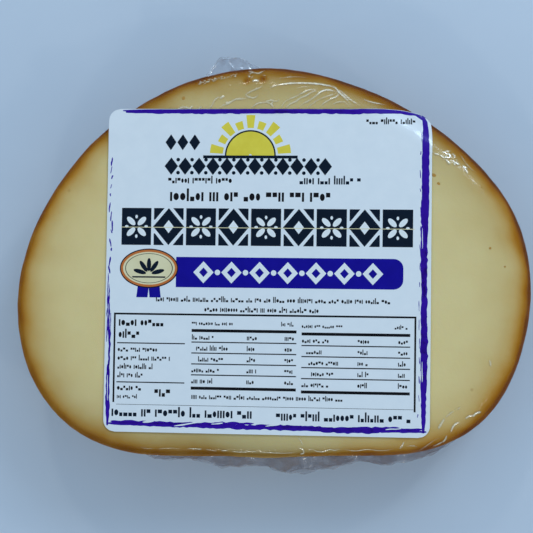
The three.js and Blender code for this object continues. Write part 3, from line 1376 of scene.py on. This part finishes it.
@dataclass(frozen=True)
class Tail:
    """Spare film of the bag's mouth, standing out from the wall as two ruffled plies.

    A lobe of the hem is (place along x, reach out from the wall, half width).
    """

    name: str
    start: float
    end: float
    height: float
    ruffle: float
    lobes: tuple[tuple[float, float, float], ...]
    root: float = 1.2
    hidden: float = 0.6
    ruffle_length: float = 13.0
    hem_shine: float = 0.45
    second_reach: float = 0.93
    raggedness: float = 0.35
    pleat_height: float = 0.45
    crest_height: float = 0.8
    bulge: float = 0.5
    thickness: float = 0.12
    apart: float = 0.12
    steps_along: int = 260
    steps_out: int = 26

    def ply(self, form: SlabForm, which: int) -> Shape:
        """One ply: a sheet from its root in the wall out to its hem.

        The reach is the sum of the hem's bell curves, the second ply's a little less. The
        height is the root's plus ruffles that grow outward, fine pleats, and pinched crests.
        The roots lie a little apart. The hem and some streaks are pale: partly the milkiness of
        folded film, partly painted highlights.

        Args:
            form: The slab's form.
            which: 0 for the ply rooted above, 1 for the one rooted below.

        Returns:
            The ply, with a fold value of 0 to 1 at each point.
        """
        theta = np.linspace(self.start, self.end, self.steps_along)[None]
        inward = np.linspace(0, 1, self.steps_out)[:, None]
        out = 1 - inward
        edge = form.outline(theta)
        x = edge * np.cos(theta)
        reach = sum(r * bell(x - m, h) for m, r, h in self.lobes) - self.hidden
        ragged = Ripple(50 + which, 4.0).at(np.stack([x, 0 * x, 0 * x], -1))
        share = 1.0 if which == 0 else self.second_reach
        reach = reach * share + self.raggedness * ragged * (reach > 0)
        radius = edge - self.root + out * (self.root + reach)
        flat = form.place(radius, theta, self.height + 0 * radius)
        ruffles = self.ruffle * out * np.sin(TAU * x / self.ruffle_length + 0.7 * which)
        pleats = self.pleat_height * out * Ripple(60 + which, 3.0).at(flat * (1.0, 0.5, 0.0))
        crests = self.crest_height * out * Ripple(70 + which, 5.0).crests(flat)
        side = 1 if which == 0 else -1
        rise = ruffles + pleats + crests + side * (self.bulge * np.sin(out * math.pi) + self.apart)
        up = np.array([0, 0, self.thickness / 2])
        middle = flat + np.stack([0 * rise, 0 * rise, rise], -1)
        shape = thin_sheet(middle + up, middle - up)
        # Pale streaks and hem: partly folded film, partly painted highlights.
        highlight_streaks = ease(Ripple(80 + which, 4.0).crests(flat * (1.0, 0.6, 0.0)), 0.72, 0.95)
        fold = np.clip(self.hem_shine * (ease(out, 0.93, 0.99) + 0.7 * highlight_streaks * out), 0, 1)
        shape.values["fold"] = np.tile(fold.ravel(), 2)
        return shape

    def build(self, form: SlabForm, material: bpy.types.Material) -> bpy.types.Object:
        """Makes both plies as one piece."""
        shape = joined([self.ply(form, which) for which in (0, 1)])
        return make_piece(self.name, shape, material, "wrapped_cheese")


FRONT_TAIL = Tail(
    "film_tail_front",
    math.radians(-136),
    math.radians(-34),
    15.0,
    2.4,
    (
        (-31, 4.0, 6.5),
        (-15.0, 5.2, 8.5),
        (-3, 3.2, 7),
        (8, 6.2, 8.5),
        (18, 2.4, 6),
        (29, 4.4, 8.5),
        (38, 2.8, 6),
        (47, 2.4, 6),
    ),
)
BACK_TAIL = Tail(
    "film_tail_back",
    math.radians(84),
    math.radians(116),
    17.0,
    1.6,
    ((-14.6, 5.8, 5.2), (-7.6, 3.8, 5.0)),
    steps_along=110,
)


# ---------------------------------------------------------------- the label


@dataclass
class Label:
    """The square paper label: it lies on the film and bends down over the shoulder."""

    form: SlabForm
    side: float = 88.9
    corner: float = 3.2
    under: float = 0.34
    thickness: float = 0.2
    offset: tuple[float, float] = (-0.7, 0.7)
    turn: float = math.radians(-0.75)
    stiffest: float = 0.08
    tightest: float = 0.95
    steps: int = 120

    def swell(self, plan: np.ndarray) -> np.ndarray:
        """Faint waviness of the paper, stronger toward its top edge.

        Args:
            plan: Places from the label's middle, last axis 2.

        Returns:
            Height at each place.
        """
        points = np.stack([plan[..., 0], plan[..., 1], 0 * plan[..., 0]], -1)
        amount = 0.03 + 0.07 * ease(plan[..., 1], 15, 42)
        return amount * (0.6 * Ripple(81, 13.0).at(points) + 0.4 * Ripple(82, 6.0).at(points))

    def point(self, plan: np.ndarray, lift: float) -> np.ndarray:
        """Puts places of the flat label down on the slab.

        Past the face's edge the paper keeps its length: it bends down round an arc, of nearly
        the shoulder's own radius at the right and a much larger one at the left, where it is
        stiff and stands off, and then runs straight down. It bends square to the edge, whose
        normal is turned from the radius by atan(r'/r).

        Args:
            plan: Places from the label's middle, x to the right and y up, last axis 2.
            lift: Height above the paper's upper face, or below it if negative.

        Returns:
            Points with a last axis of size 3.
        """
        c, s = math.cos(self.turn), math.sin(self.turn)
        x = self.offset[0] + c * plan[..., 0] - s * plan[..., 1]
        y = self.offset[1] + s * plan[..., 0] + c * plan[..., 1]
        lift = lift + self.under + self.thickness + self.swell(plan)
        theta, radius = np.arctan2(y, x), np.hypot(x, y)
        edge = self.form.face_edge(theta)
        step = 0.002
        slope = self.form.face_edge(theta + step) - self.form.face_edge(theta - step)
        lean = np.arctan2(slope / (2 * step), edge)
        over = np.maximum(radius - edge, 0) * np.cos(lean)
        share = self.stiffest + (self.tightest - self.stiffest) * ease(x, -self.side / 3, self.side / 4)
        bend = self.form.shoulder(theta) / share
        angle = np.minimum(over / bend, math.pi / 2)
        straight = over - angle * bend
        drop = bend - (bend + lift) * np.cos(angle) + straight
        top = self.form.face_height(np.minimum(radius, edge), theta)
        pull = over - (bend + lift) * np.sin(angle)
        back = np.stack([np.cos(theta - lean), np.sin(theta - lean), 0 * theta], -1)
        return self.form.place(radius, theta, top - drop) - pull[..., None] * back

    def outline_grid(self) -> np.ndarray:
        """A grid over the square with round corners.

        Rows and columns crowd toward the edges as a sine does, and each row is as wide as
        the outline there: in the corner band it is shorter by r - sqrt(r^2 - d^2).

        Returns:
            Places from the label's middle, of shape (rows, columns, 2).
        """
        half = self.side / 2
        spread = np.sin(np.linspace(-1, 1, self.steps + 1) * math.pi / 2) * 0.6
        spread += np.linspace(-1, 1, self.steps + 1) * 0.4
        y = half * spread[:, None]
        deep = np.clip(np.abs(y) - (half - self.corner), 0, self.corner)
        x = (half - self.corner + np.sqrt(self.corner**2 - deep**2)) * spread[None]
        return np.stack(np.broadcast_arrays(x, y), -1)

    def build(self, finish: PaperFinish, effects: Effects) -> bpy.types.Object:
        """Makes the paper.

        Args:
            finish: Finish of the paper.
            effects: Shared shader effects.

        Returns:
            The paper's object.
        """
        plan = self.outline_grid()
        sheet = thin_sheet(self.point(plan, 0.0), self.point(plan, -self.thickness))
        material = finish.build(effects)
        return make_piece("label_paper", sheet, material, "label", PAPER_CREASE)


# ---------------------------------------------------------------- the print


class Ink(Enum):
    """Inks of the label, each with its screen colour and the shade that clouds it."""

    INDIGO = ("#360a9e", "#2f0694")
    BLUE = ("#120694", "#0e0388")
    NAVY = ("#06182b", "#051424")
    BLACK = ("#141117", "#0d0c10")
    YELLOW = ("#efdb50", "#e6cf42")
    ORANGE = ("#d2783c", "#c66c32")
    CREAM = ("#ece0b6", "#e4d6a8")
    WHITE = ("#f0f2f2", "#e9ecec")


@dataclass
class Mark:
    """One printed shape: its grid of plan points, ink, layer, and whether it is a ring."""

    plan: np.ndarray
    ink: Ink
    layer: int = 1
    wrap: bool = False


def bar(left: float, bottom: float, right: float, top: float, slant: float = 0.0) -> np.ndarray:
    """A rectangle, its top moved sideways by the slant, split about every 0.8 mm.

    Args:
        left: Its left side.
        bottom: Its bottom side.
        right: Its right side.
        top: Its top side.
        slant: How far its top is moved to the right.

    Returns:
        Grid of places, of shape (rows, columns, 2).
    """
    columns = max(math.ceil(abs(right - left) / 0.8), 1) + 1
    rows = max(math.ceil(abs(top - bottom) / 0.8), 1) + 1
    u, v = np.meshgrid(np.linspace(0, 1, columns), np.linspace(0, 1, rows))
    return np.stack([left + (right - left) * u + slant * v, bottom + (top - bottom) * v], -1)


def disc(x: float, y: float, width: float, height: float, steps: int = 12) -> np.ndarray:
    """An ellipse from a square grid: u sqrt(1 - v^2/2) across and v sqrt(1 - u^2/2) up.

    Args:
        x: Its middle, to the right.
        y: Its middle, upward.
        width: Its full width.
        height: Its full height.
        steps: Squares along a side of the grid.

    Returns:
        Grid of places, of shape (rows, columns, 2).
    """
    u, v = np.meshgrid(np.linspace(-1, 1, steps + 1), np.linspace(-1, 1, steps + 1))
    across, up = u * np.sqrt(1 - v * v / 2), v * np.sqrt(1 - u * u / 2)
    return np.stack([x + across * width / 2, y + up * height / 2], -1)


def ring(x: float, y: float, outer: float, inner: float, squash: float = 1.0) -> np.ndarray:
    """A ring of two radii, its height squashed, with its outside in row 0.

    Args:
        x: Its middle, to the right.
        y: Its middle, upward.
        outer: Outer radius.
        inner: Inner radius.
        squash: Its height as a share of its width.

    Returns:
        Grid of places, of shape (rows, columns, 2).
    """
    angle = np.linspace(0, TAU, 64, endpoint=False)
    radius = np.array([outer, (outer + inner) / 2, inner])[:, None]
    return np.stack([x + radius * np.cos(angle), y + squash * radius * np.sin(angle)], -1)


def lozenge(x: float, y: float, width: float, height: float) -> np.ndarray:
    """A diamond from a square grid turned by half a right angle."""
    u, v = np.meshgrid(np.linspace(-1, 1, 4), np.linspace(-1, 1, 4))
    return np.stack([x + (u - v) / 2 * width / 2, y + (u + v) / 2 * height / 2], -1)


def turned(plan: np.ndarray, degrees: float, x: float, y: float) -> np.ndarray:
    """A grid turned about the origin and moved to a place.

    Args:
        plan: Grid to move.
        degrees: Turn, anticlockwise.
        x: Where the origin goes, to the right.
        y: Where the origin goes, upward.

    Returns:
        The moved grid.
    """
    c, s = math.cos(math.radians(degrees)), math.sin(math.radians(degrees))
    across, up = plan[..., 0], plan[..., 1]
    return np.stack([x + c * across - s * up, y + s * across + c * up], -1)


def fan(x: float, y: float, inner: float, outer: float, start: float, end: float) -> np.ndarray:
    """A sector of a ring, between two radii and two angles in degrees.

    Args:
        x: Its middle, to the right.
        y: Its middle, upward.
        inner: Inner radius.
        outer: Outer radius.
        start: Its first angle.
        end: Its last angle.

    Returns:
        Grid of places, of shape (rows, columns, 2).
    """
    angle = np.radians(np.linspace(end, start, max(int(abs(end - start) / 6), 2) + 1))
    radius = np.linspace(inner, outer, 4)[:, None]
    return np.stack([x + radius * np.cos(angle), y + radius * np.sin(angle)], -1)


def round_end(left: float, bottom: float, right: float, top: float, corner: float) -> np.ndarray:
    """A rectangle whose right corners are round; columns crowd toward the right.

    Args:
        left: Its left side.
        bottom: Its bottom side.
        right: Its right side.
        top: Its top side.
        corner: Radius of its right corners.

    Returns:
        Grid of places, of shape (rows, columns, 2).
    """
    u = np.sin(np.linspace(0, 1, 40) * math.pi / 2)
    x = left + (right - left) * u
    deep = np.clip(x - (right - corner), 0, corner)
    half = (top - bottom) / 2 - corner + np.sqrt(corner**2 - deep**2)
    v = np.linspace(-1, 1, 5)[:, None]
    return np.stack(np.broadcast_arrays(x[None], (top + bottom) / 2 + half * v), -1)


def brush(
    start: tuple[float, float], end: tuple[float, float], width: float, ragged: float, seed: int
) -> np.ndarray:
    """A dry brush stroke between two points, with ragged sides and tapered ends.

    Each side is the half width, times a taper of sine to the power 0.25, plus ragged noise
    with knots about 0.9 mm apart, and its middle wanders by half the raggedness.

    Args:
        start: Middle of its first end.
        end: Middle of its last end.
        width: Its width at the widest, without the noise.
        ragged: Size of the noise.
        seed: Seed of the noise.

    Returns:
        Grid of places, with four rows along the stroke.
    """
    first, last = np.array(start), np.array(end)
    length = float(np.linalg.norm(last - first))
    steps = max(int(length / 0.35), 8)
    share = np.linspace(0, 1, steps + 1)
    along = (last - first) / length
    across = np.array([-along[1], along[0]])
    draw = np.random.default_rng(seed)
    knots = max(int(length / 0.9), 4)
    noise = [np.interp(share, np.linspace(0, 1, knots), draw.uniform(-1, 1, knots)) for _ in range(3)]
    taper = np.sin(np.clip(share, 0.002, 0.998) * math.pi) ** 0.25
    low = -width / 2 * taper + ragged * (noise[0] + 0.5 * noise[2]) * taper
    high = width / 2 * taper + ragged * (noise[1] + 0.5 * noise[2]) * taper
    high = np.maximum(high, low + 0.06)
    sides = low[None] + (high - low)[None] * np.linspace(0, 1, 4)[:, None]
    return first + share[None, :, None] * (last - first) + sides[..., None] * across


@dataclass
class Print:
    """Everything printed on the label, in millimetres from its middle, without lettering.

    Words are rows of small plain blocks. The headline is a frieze of flowers and lozenges.
    """

    label: Label
    layer_step: float = 0.02
    marks: list[Mark] = field(default_factory=list)

    def add(self, plan: np.ndarray, ink: Ink, layer: int = 1, wrap: bool = False) -> None:
        """Adds a mark."""
        self.marks.append(Mark(plan, ink, layer, wrap))

    def words(
        self, left: float, right: float, middle: float, size: float, seed: int, ink: Ink = Ink.BLACK
    ) -> None:
        """A line of words as small blocks and dots, with gaps between the words.

        A block is a thin stem, or a broad one of half height on the line's foot or head,
        or a dot in its middle. A few stems are taller.

        Args:
            left: Start of the line.
            right: End of the line.
            middle: Height of the middle of the line.
            size: Height of a low stem.
            seed: Seed of the draw.
            ink: Its ink.
        """
        draw = np.random.default_rng(seed)
        foot, head = middle - size / 2, middle + size / 2
        x, word = left, int(draw.integers(3, 8))
        while x + 0.6 * size < right:
            if word == 0:
                word = int(draw.integers(3, 9))
                x += 0.5 * size
                continue
            kind = draw.random()
            broad = size * draw.uniform(0.42, 0.6)
            thin = size * 0.24
            if kind < 0.4:
                rise = 0.4 * size if kind < 0.08 else 0.0
                self.add(bar(x, foot, x + thin, head + rise), ink)
                x += thin
            elif kind < 0.62:
                self.add(bar(x, foot, x + broad, foot + 0.5 * size), ink)
                x += broad
            elif kind < 0.8:
                self.add(bar(x, head - 0.5 * size, x + broad, head), ink)
                x += broad
            else:
                self.add(disc(x + broad / 2, middle, broad, 0.8 * size, 6), ink)
                x += broad
            x += 0.14 * size
            word -= 1

    def rules(self, *rows: tuple[float, float, float, float]) -> None:
        """Black bars, each (left, bottom, right, top)."""
        for row in rows:
            self.add(bar(*row), Ink.BLACK)

    def strokes(self, ink: Ink, layer: int, seed: int, *rows: tuple[float, ...]) -> None:
        """Brush strokes, each (left, bottom, right, top, width, raggedness)."""
        for k, (x, y, end_x, end_y, width, ragged) in enumerate(rows):
            self.add(brush((x, y), (end_x, end_y), width, ragged, seed + k), ink, layer)

    def border(self) -> None:
        """The brushed frame: bold at the right and foot, thin and broken at the left."""
        self.strokes(
            Ink.INDIGO, 1, 101,
            (-40.6, 43.98, 43.6, 43.98, 0.94, 0.02), (-39.8, 43.6, 12.0, 43.7, 1.1, 0.12),
            (-2.0, 43.6, 41.5, 43.5, 0.9, 0.16), (42.7, 44.5, 42.8, 8.0, 2.0, 0.14),
            (42.6, 12.0, 42.7, -43.2, 1.7, 0.14),
            (42.4, 24.0, 42.6, -7.0, 1.8, 0.18), (42.7, -9.0, 42.9, -33.0, 1.8, 0.24),
            (-43.3, -42.2, 43.5, -42.8, 1.25, 0.16), (-42.4, -41.7, -21.0, -41.9, 0.9, 0.2),
            (-25.0, -42.1, -3.0, -41.5, 0.8, 0.24), (-2.5, -42.0, 18.5, -42.3, 0.9, 0.2),
            (13.0, -43.0, 31.0, -43.2, 1.0, 0.22), (21.0, -42.2, 42.5, -42.2, 0.8, 0.2),
            (-43.4, -26.0, -43.3, -42.8, 1.1, 0.16), (-43.5, -4.0, -43.2, -27.0, 0.45, 0.16),
            (-42.9, -12.0, -43.3, -31.0, 0.4, 0.14), (-43.8, -1.0, -43.9, -20.0, 0.3, 0.1),
            (40.2, 43.9, 43.4, 41.9, 1.3, 0.03),
        )
        self.strokes(
            Ink.WHITE, 2, 151,
            (-33.5, -41.7, -30.4, -41.4, 0.5, 0.12), (-24.8, -42.6, -17.0, -41.3, 0.3, 0.08),
            (-20.2, -41.2, -15.0, -40.9, 0.3, 0.06), (-14.6, -41.9, -11.4, -41.5, 0.32, 0.08),
            (0.2, -42.1, 4.2, -41.6, 0.34, 0.08), (15.2, -41.9, 20.4, -41.7, 0.34, 0.06),
            (32.6, -42.4, 36.8, -42.0, 0.3, 0.08), (-8.0, 43.1, 5.0, 43.0, 0.16, 0.04),
            (-43.5, -29.0, -43.4, -36.0, 0.22, 0.05), (42.0, 12.0, 42.1, 6.5, 0.18, 0.04),
            (42.2, -24.0, 42.3, -29.5, 0.2, 0.05), (25.0, 43.0, 31.0, 42.9, 0.18, 0.04),
        )
        draw = np.random.default_rng(140)
        for y in np.linspace(31, 1, 13):
            x = -43.5 + draw.uniform(-0.3, 0.5)
            length = draw.uniform(0.8, 3.4)
            width = draw.uniform(0.22, 0.45)
            end = (x + draw.uniform(-0.5, 0.5), y - length)
            self.add(brush((x, y), end, width, 0.08, int(draw.integers(1000))), Ink.INDIGO)
        for y in np.linspace(38, -38, 16):
            x = 41.4 + draw.uniform(-0.25, 0.2)
            end = (x + draw.uniform(-0.1, 0.2), y - draw.uniform(0.8, 3.0))
            self.add(brush((x, y), end, 0.2, 0.06, int(draw.integers(1000))), Ink.INDIGO)

    def crest(self) -> None:
        """The head of the label: a yellow sunrise over a chain of lozenges, and words."""
        x, y = -5.0, 31.6
        self.add(fan(x, y, 0.4, 6.6, 0, 180), Ink.YELLOW, 1)
        for k in range(9):
            middle = 10 + 20 * k
            reach = 11.2 if k % 2 == 0 else 9.8
            self.add(fan(x, y, 7.6, reach, middle - 6.4, middle + 6.4), Ink.YELLOW, 1)
        self.add(fan(x, y, 6.6, 7.0, 0, 180), Ink.NAVY, 2)
        self.add(bar(x - 13.0, y - 0.8, x + 13.0, y), Ink.NAVY, 2)
        for k in range(12):
            self.add(lozenge(-26.8 + 3.85 * k, 28.6, 3.7, 4.8), Ink.NAVY, 2)
            if k < 11:
                self.add(disc(-24.9 + 3.85 * k, 30.4, 1.0, 1.0, 4), Ink.NAVY, 2)
                self.add(disc(-24.9 + 3.85 * k, 26.8, 1.0, 1.0, 4), Ink.NAVY, 2)
        for k in range(3):
            self.add(lozenge(-27.0 + 3.3 * k, 35.2, 3.0, 4.4), Ink.NAVY, 2)
        self.words(-27.6, -9.6, 24.6, 1.5, 302, Ink.BLACK)
        self.words(8.6, 26.0, 24.6, 1.7, 303, Ink.NAVY)
        self.words(26.6, 40.6, 40.9, 1.3, 305, Ink.BLACK)
        self.words(-27.0, 19.6, 20.2, 2.5, 306, Ink.BLACK)

    def frieze(self) -> None:
        """The headline: navy tiles with white flowers between navy lozenges."""
        middle, tall, pitch = 11.9, 10.2, 8.95
        for k in range(9):
            x = -36.2 + k * pitch
            if k % 2 == 0:
                self.add(bar(x - 4.1, middle - tall / 2, x + 4.1, middle + tall / 2), Ink.NAVY)
                for turn in (45, 135, 225, 315):
                    self.add(turned(disc(2.1, 0, 3.0, 1.5, 8), turn, x, middle), Ink.WHITE, 2)
                for turn in (0, 90, 180, 270):
                    self.add(turned(disc(2.7, 0, 1.0, 0.7, 6), turn, x, middle), Ink.WHITE, 2)
            else:
                self.add(lozenge(x, middle, 8.6, tall), Ink.NAVY)
                self.add(lozenge(x, middle, 2.8, 3.6), Ink.WHITE, 2)
                for side in (-1, 1):
                    for end in (-1, 1):
                        corner = bar(0, 0, 2.9, 3.2)
                        corner[..., 0] *= 1 - corner[..., 1] / 3.6
                        place = corner * (side, -end) + (x - 4.1 * side, middle + end * tall / 2)
                        self.add(place if side * end < 0 else place[:, ::-1], Ink.NAVY)
        self.add(bar(-40.4, 11.6, 39.9, 11.78), Ink.CREAM, 3)

    def banner(self) -> None:
        """The blue banner with a row of white lozenges and dots."""
        self.add(round_end(-25.0, -4.7, 37.0, 3.6, 2.6), Ink.BLUE)
        for k in range(7):
            x = -17.4 + 7.7 * k
            self.add(lozenge(x, -0.55, 5.6, 6.0), Ink.WHITE, 2)
            self.add(lozenge(x, -0.55, 2.4, 2.6), Ink.BLUE, 3)
            if k < 6:
                self.add(disc(x + 3.85, -0.55, 1.5, 1.5, 6), Ink.WHITE, 2)

    def medallion(self) -> None:
        """The oval medallion with its orange rim, ribbon tails and a sprig of leaves."""
        x, y = -32.5, 0.4
        for side in (-1, 1):
            tail = bar(0.3 * side, -7.6, 3.4 * side, -4.0, -0.4 * side)
            tail[..., 0] += x
            self.add(tail if side > 0 else tail[:, ::-1], Ink.BLUE, 1)
        rims = ((16.2, 10.8, Ink.NAVY), (15.6, 10.2, Ink.ORANGE), (14.4, 9.0, Ink.CREAM))
        for layer, (width, height, ink) in enumerate(rims):
            self.add(disc(x, y, width, height, 20), ink, 2 + layer)
        self.add(ring(x, y, 6.6, 6.4, 0.62), Ink.NAVY, 5, True)
        for turn in (15, 55, 90, 125, 165):
            self.add(turned(disc(2.6, 0, 3.6, 1.2, 8), turn, x, y - 1.6), Ink.NAVY, 5)
        self.add(bar(x - 4.6, y - 2.6, x + 4.6, y - 2.2), Ink.NAVY, 5)

    def panel(self) -> None:
        """The facts panel: a frame, three columns of rules, and words and figures as blocks."""
        self.rules(
            (-42.0, -12.4, 40.6, -11.9),
            (-42.0, -36.4, -41.5, -12.3),
            (40.1, -37.6, 40.6, -12.3),
            (-41.0, -37.0, 40.0, -36.9),
        )
        for middle, seed in ((-14.6, 401), (-17.9, 402)):
            self.words(-40.6, -27.5 if seed == 401 else -33.0, middle, 1.8, seed)
        self.rules((-41.0, -20.3, -22.2, -20.0))
        for k, right in enumerate((-29.5, -25.6, -30.5, -33.0)):
            self.words(-40.8, right, -22.0 - 2.35 * k, 1.1, 410 + k)
        self.rules((-41.0, -31.0, -22.2, -30.7))
        self.words(-40.8, -33.4, -32.5, 1.25, 420)
        self.words(-40.8, -34.4, -34.9, 0.9, 421)
        self.words(-30.4, -25.2, -33.7, 2.0, 422)
        row_pitch, row_size = 2.98, 1.05
        columns = ((-20.4, 8.3, -14.6, -16.5), (9.7, 39.0, -15.0, -17.0))
        for number, (left, right, head, first) in enumerate(columns):
            self.words(left, left + 11.5, head, 0.9, 430 + number)
            self.words(right - 4.2, right - 0.6, head, 0.9, 440 + number)
            self.rules((left, first - 0.4, right, first + 0.4))
            for k in range(5):
                row = first - 1.95 - row_pitch * k
                start = left + 0.1 + (0.0, 1.2, 1.8, 2.6 * number, 0.0)[k]
                end = left + 6.5 + 1.3 * ((k * 7 + number) % 4)
                spans = ((start, end), (left + 15.2, left + 18.4), (right - 3.2, right - 0.3))
                for field_number, (begin, stop) in enumerate(spans):
                    seed = 450 + 20 * field_number + 10 * number + k
                    self.words(begin, stop, row, row_size, seed)
                if k < 4:
                    self.rules((left, row - 1.35, right, row - 1.05))
            last = first - 15.7
            self.rules((left, last - 0.4, right, last + 0.4))
        self.words(-20.2, 21.5, -34.6, row_size, 520)

    def lines(self) -> None:
        """The two fine lines of words over the panel and the two bold ones under it."""
        self.words(-30.4, 34.2, -8.1, 1.15, 530)
        self.words(-17.0, 14.6, -10.8, 1.15, 531)
        self.words(-42.2, -2.8, -39.2, 2.0, 532, Ink.NAVY)
        self.words(3.0, 40.4, -39.6, 1.9, 533, Ink.NAVY)

    def build(self, effects: Effects) -> list[bpy.types.Object]:
        """Lays every mark on the paper and makes one piece of each ink.

        Args:
            effects: Shared shader effects.

        Returns:
            One piece for each ink.
        """
        for part in (self.border, self.crest, self.frieze, self.banner):
            part()
        for part in (self.medallion, self.panel, self.lines):
            part()
        pieces = []
        for ink in Ink:
            shapes = []
            for mark in (mark for mark in self.marks if mark.ink is ink):
                top = self.label.point(mark.plan, mark.layer * self.layer_step)
                shapes.append(thin_sheet(top, self.label.point(mark.plan, -0.02), mark.wrap))
            name = f"print_{ink.name.lower()}"
            colour, shade = ink.value
            finish = PaperFinish(name, colour, shade, roughness=0.42, coat=0.12, shine=0.1)
            material = finish.build(effects)
            piece = make_piece(name, joined(shapes), material, "label", PAPER_CREASE)
            pieces.append(piece)
        return pieces


# ---------------------------------------------------------------- studio


@dataclass
class Studio:
    """Pale floor, cool soft lights and the camera."""

    form: SlabForm
    label: Label
    label_height: float = 33.7
    distance: float = 340.0
    tilt_right: float = 5.0
    tilt_front: float = 2.0
    aside: tuple[float, float] = (0.11, -1.21)
    frame_width: float = 145.3
    sensor: float = 36.0
    cool: tuple[float, float, float] = (0.605, 0.795, 0.99)
    white: tuple[float, float, float] = (1.0, 0.97, 0.88)
    dome: tuple[tuple[float, float], ...] = (
        (0.0, 0.20),
        (0.30, 0.50),
        (0.60, 0.71),
        (0.92, 0.71),
        (0.98, 0.30),
    )
    lamps: tuple[tuple[str, float, float, float, float, float], ...] = (
        ("key", 50, 43, 0.85, 0.20, 9.0),
        ("window", 75, 58, 1.10, 0.70, 0.95),
        ("glint_right", 44, 48, 0.90, 0.05, 40.0),
        ("glint_back", 97, 44, 0.90, 0.05, 46.0),
        ("glint_corner", -38, 46, 0.90, 0.05, 42.0),
        ("glint_front", -98, 46, 0.90, 0.05, 42.0),
    )

    def floor(self, effects: Effects) -> bpy.types.Object:
        """A plain pale floor under the slab.

        Args:
            effects: Shared shader effects.

        Returns:
            The floor's object.
        """
        half = 1500.0
        corners = np.array([[-half, -half, 0], [half, -half, 0], [half, half, 0], [-half, half, 0]])
        mesh = bpy.data.meshes.new("floor")
        mesh.from_pydata((corners * MM).tolist(), [], [(0, 1, 2, 3)])
        material, shader, output = start_material("floor")
        surface = shader.add("BsdfPrincipled", Roughness=0.75)
        cloud = effects.place(shader, effects.cloud, "Value", Scale=16.0, Low=0.0, High=1.0)
        shader.link(shader.mix(cloud, "#cfd9e5", "#c9d4e1"), surface.inputs["Base Color"])
        shader.link(surface.outputs[0], output.inputs["Surface"])
        mesh.materials.append(material)
        floor = bpy.data.objects.new("floor", mesh)
        bpy.context.collection.objects.link(floor)
        return floor

    def lamp(
        self, name: str, turn: float, tilt: float, distance: float, size: float, gleam: float
    ) -> None:
        """A square area light that faces the slab.

        Its power in watts is pi times its area times its radiance.

        Args:
            name: Its name.
            turn: Direction that it hangs in, in degrees anticlockwise from the right.
            tilt: Its slant from straight overhead, in degrees.
            distance: How far away it hangs, in metres.
            size: Its side, in metres.
            gleam: Its radiance.
        """
        around, down = math.radians(turn), math.radians(tilt)
        flat = distance * math.sin(down)
        place = (flat * math.cos(around), flat * math.sin(around), distance * math.cos(down))
        light = bpy.data.lights.new(name, "AREA")
        light.shape, light.color = "SQUARE", self.white if name.startswith("glint") else self.cool
        light.size, light.energy = size, math.pi * size * size * gleam
        lamp = bpy.data.objects.new(name, light)
        lamp.location = place
        lamp.rotation_euler = (-Vector(place)).to_track_quat("-Z", "Y").to_euler()
        bpy.context.collection.objects.link(lamp)

    def lights(self) -> None:
        """Soft cool light from above, strongest from the back right."""
        world = bpy.data.worlds.new("studio")
        bpy.context.scene.world = world
        world.use_nodes = True
        sky = NodeTree(world.node_tree)
        split = sky.add("SeparateXYZ")
        sky.link(sky.add("TexCoord").outputs["Generated"], split.inputs[0])
        dome = sky.add("ValToRGB")
        band = dome.color_ramp
        while len(band.elements) < len(self.dome):
            band.elements.new(1.0)
        for element, (upward, light) in zip(band.elements, self.dome):
            element.position = upward
            element.color = (*(light * tint for tint in self.cool), 1.0)
        sky.link(split.outputs["Z"], dome.inputs["Fac"])
        background = sky.add("Background", Strength=1.0)
        sky.link(dome.outputs["Color"], background.inputs["Color"])
        sky.link(background.outputs[0], sky.add("OutputWorld").inputs["Surface"])
        for lamp in self.lamps:
            self.lamp(*lamp)

    def camera(self) -> bpy.types.Object:
        """The camera, over the label's middle and tilted a little to the right and front.

        Returns:
            The camera.
        """
        turn = Matrix.Rotation(math.radians(-self.tilt_front), 3, "X") @ Matrix.Rotation(
            math.radians(-self.tilt_right), 3, "Y"
        )
        middle = Vector((*np.add(self.form.centre, self.label.offset), self.label_height))
        back = turn.transposed()
        place = middle - back @ Vector((*self.aside, -self.distance))
        data = bpy.data.cameras.new("camera")
        data.sensor_width = self.sensor
        data.lens = self.sensor * self.distance / self.frame_width
        data.clip_start = 0.01
        camera = bpy.data.objects.new("camera", data)
        camera.matrix_world = Matrix.Translation(place * MM) @ back.to_4x4()
        bpy.context.collection.objects.link(camera)
        bpy.context.scene.camera = camera
        return camera


CLEAR_FILM = FilmFinish("clear_film", "#fefefe", 0.10, 0.36, 0.0, 260.0, 0.22)
WALL_FILM = FilmFinish("wall_film", "#fefefe", 0.14, 0.8, 0.35, 260.0, 0.3)
LOOSE_FILM = FilmFinish("loose_film", "#f2efef", 0.12, 1.3, 0.3, 320.0, 0.4, fold_and_highlight_colour="#e8eaf0")
PALE_FILM = FilmFinish("pale_film", "#fcfcfd", 0.12, 2.0, 0.3, 320.0, 0.5, fold_and_highlight_colour="#f0f2f6")
COATED_PAPER = PaperFinish("coated_paper", "#eef1f3", "#e9edf0", coat=1.0)


def main() -> None:
    """Builds the studio and every piece, in order."""
    logging.basicConfig(level=logging.INFO, format="%(name)s %(message)s")
    form, effects = SlabForm(), Effects()
    label = Label(form)
    studio = Studio(form, label)
    studio.camera()
    studio.lights()
    studio.floor(effects)
    bpy.context.scene.view_settings.view_transform = "Standard"
    Cheese(form).build(CheeseFinish(), effects)
    Specks(form).build()
    Film(form).build(CLEAR_FILM, WALL_FILM, effects)
    for tail, finish in ((FRONT_TAIL, LOOSE_FILM), (BACK_TAIL, PALE_FILM)):
        tail.build(form, finish.build(effects))
    label.build(COATED_PAPER, effects)
    Print(label).build(effects)


if __name__ == "__main__":
    main()
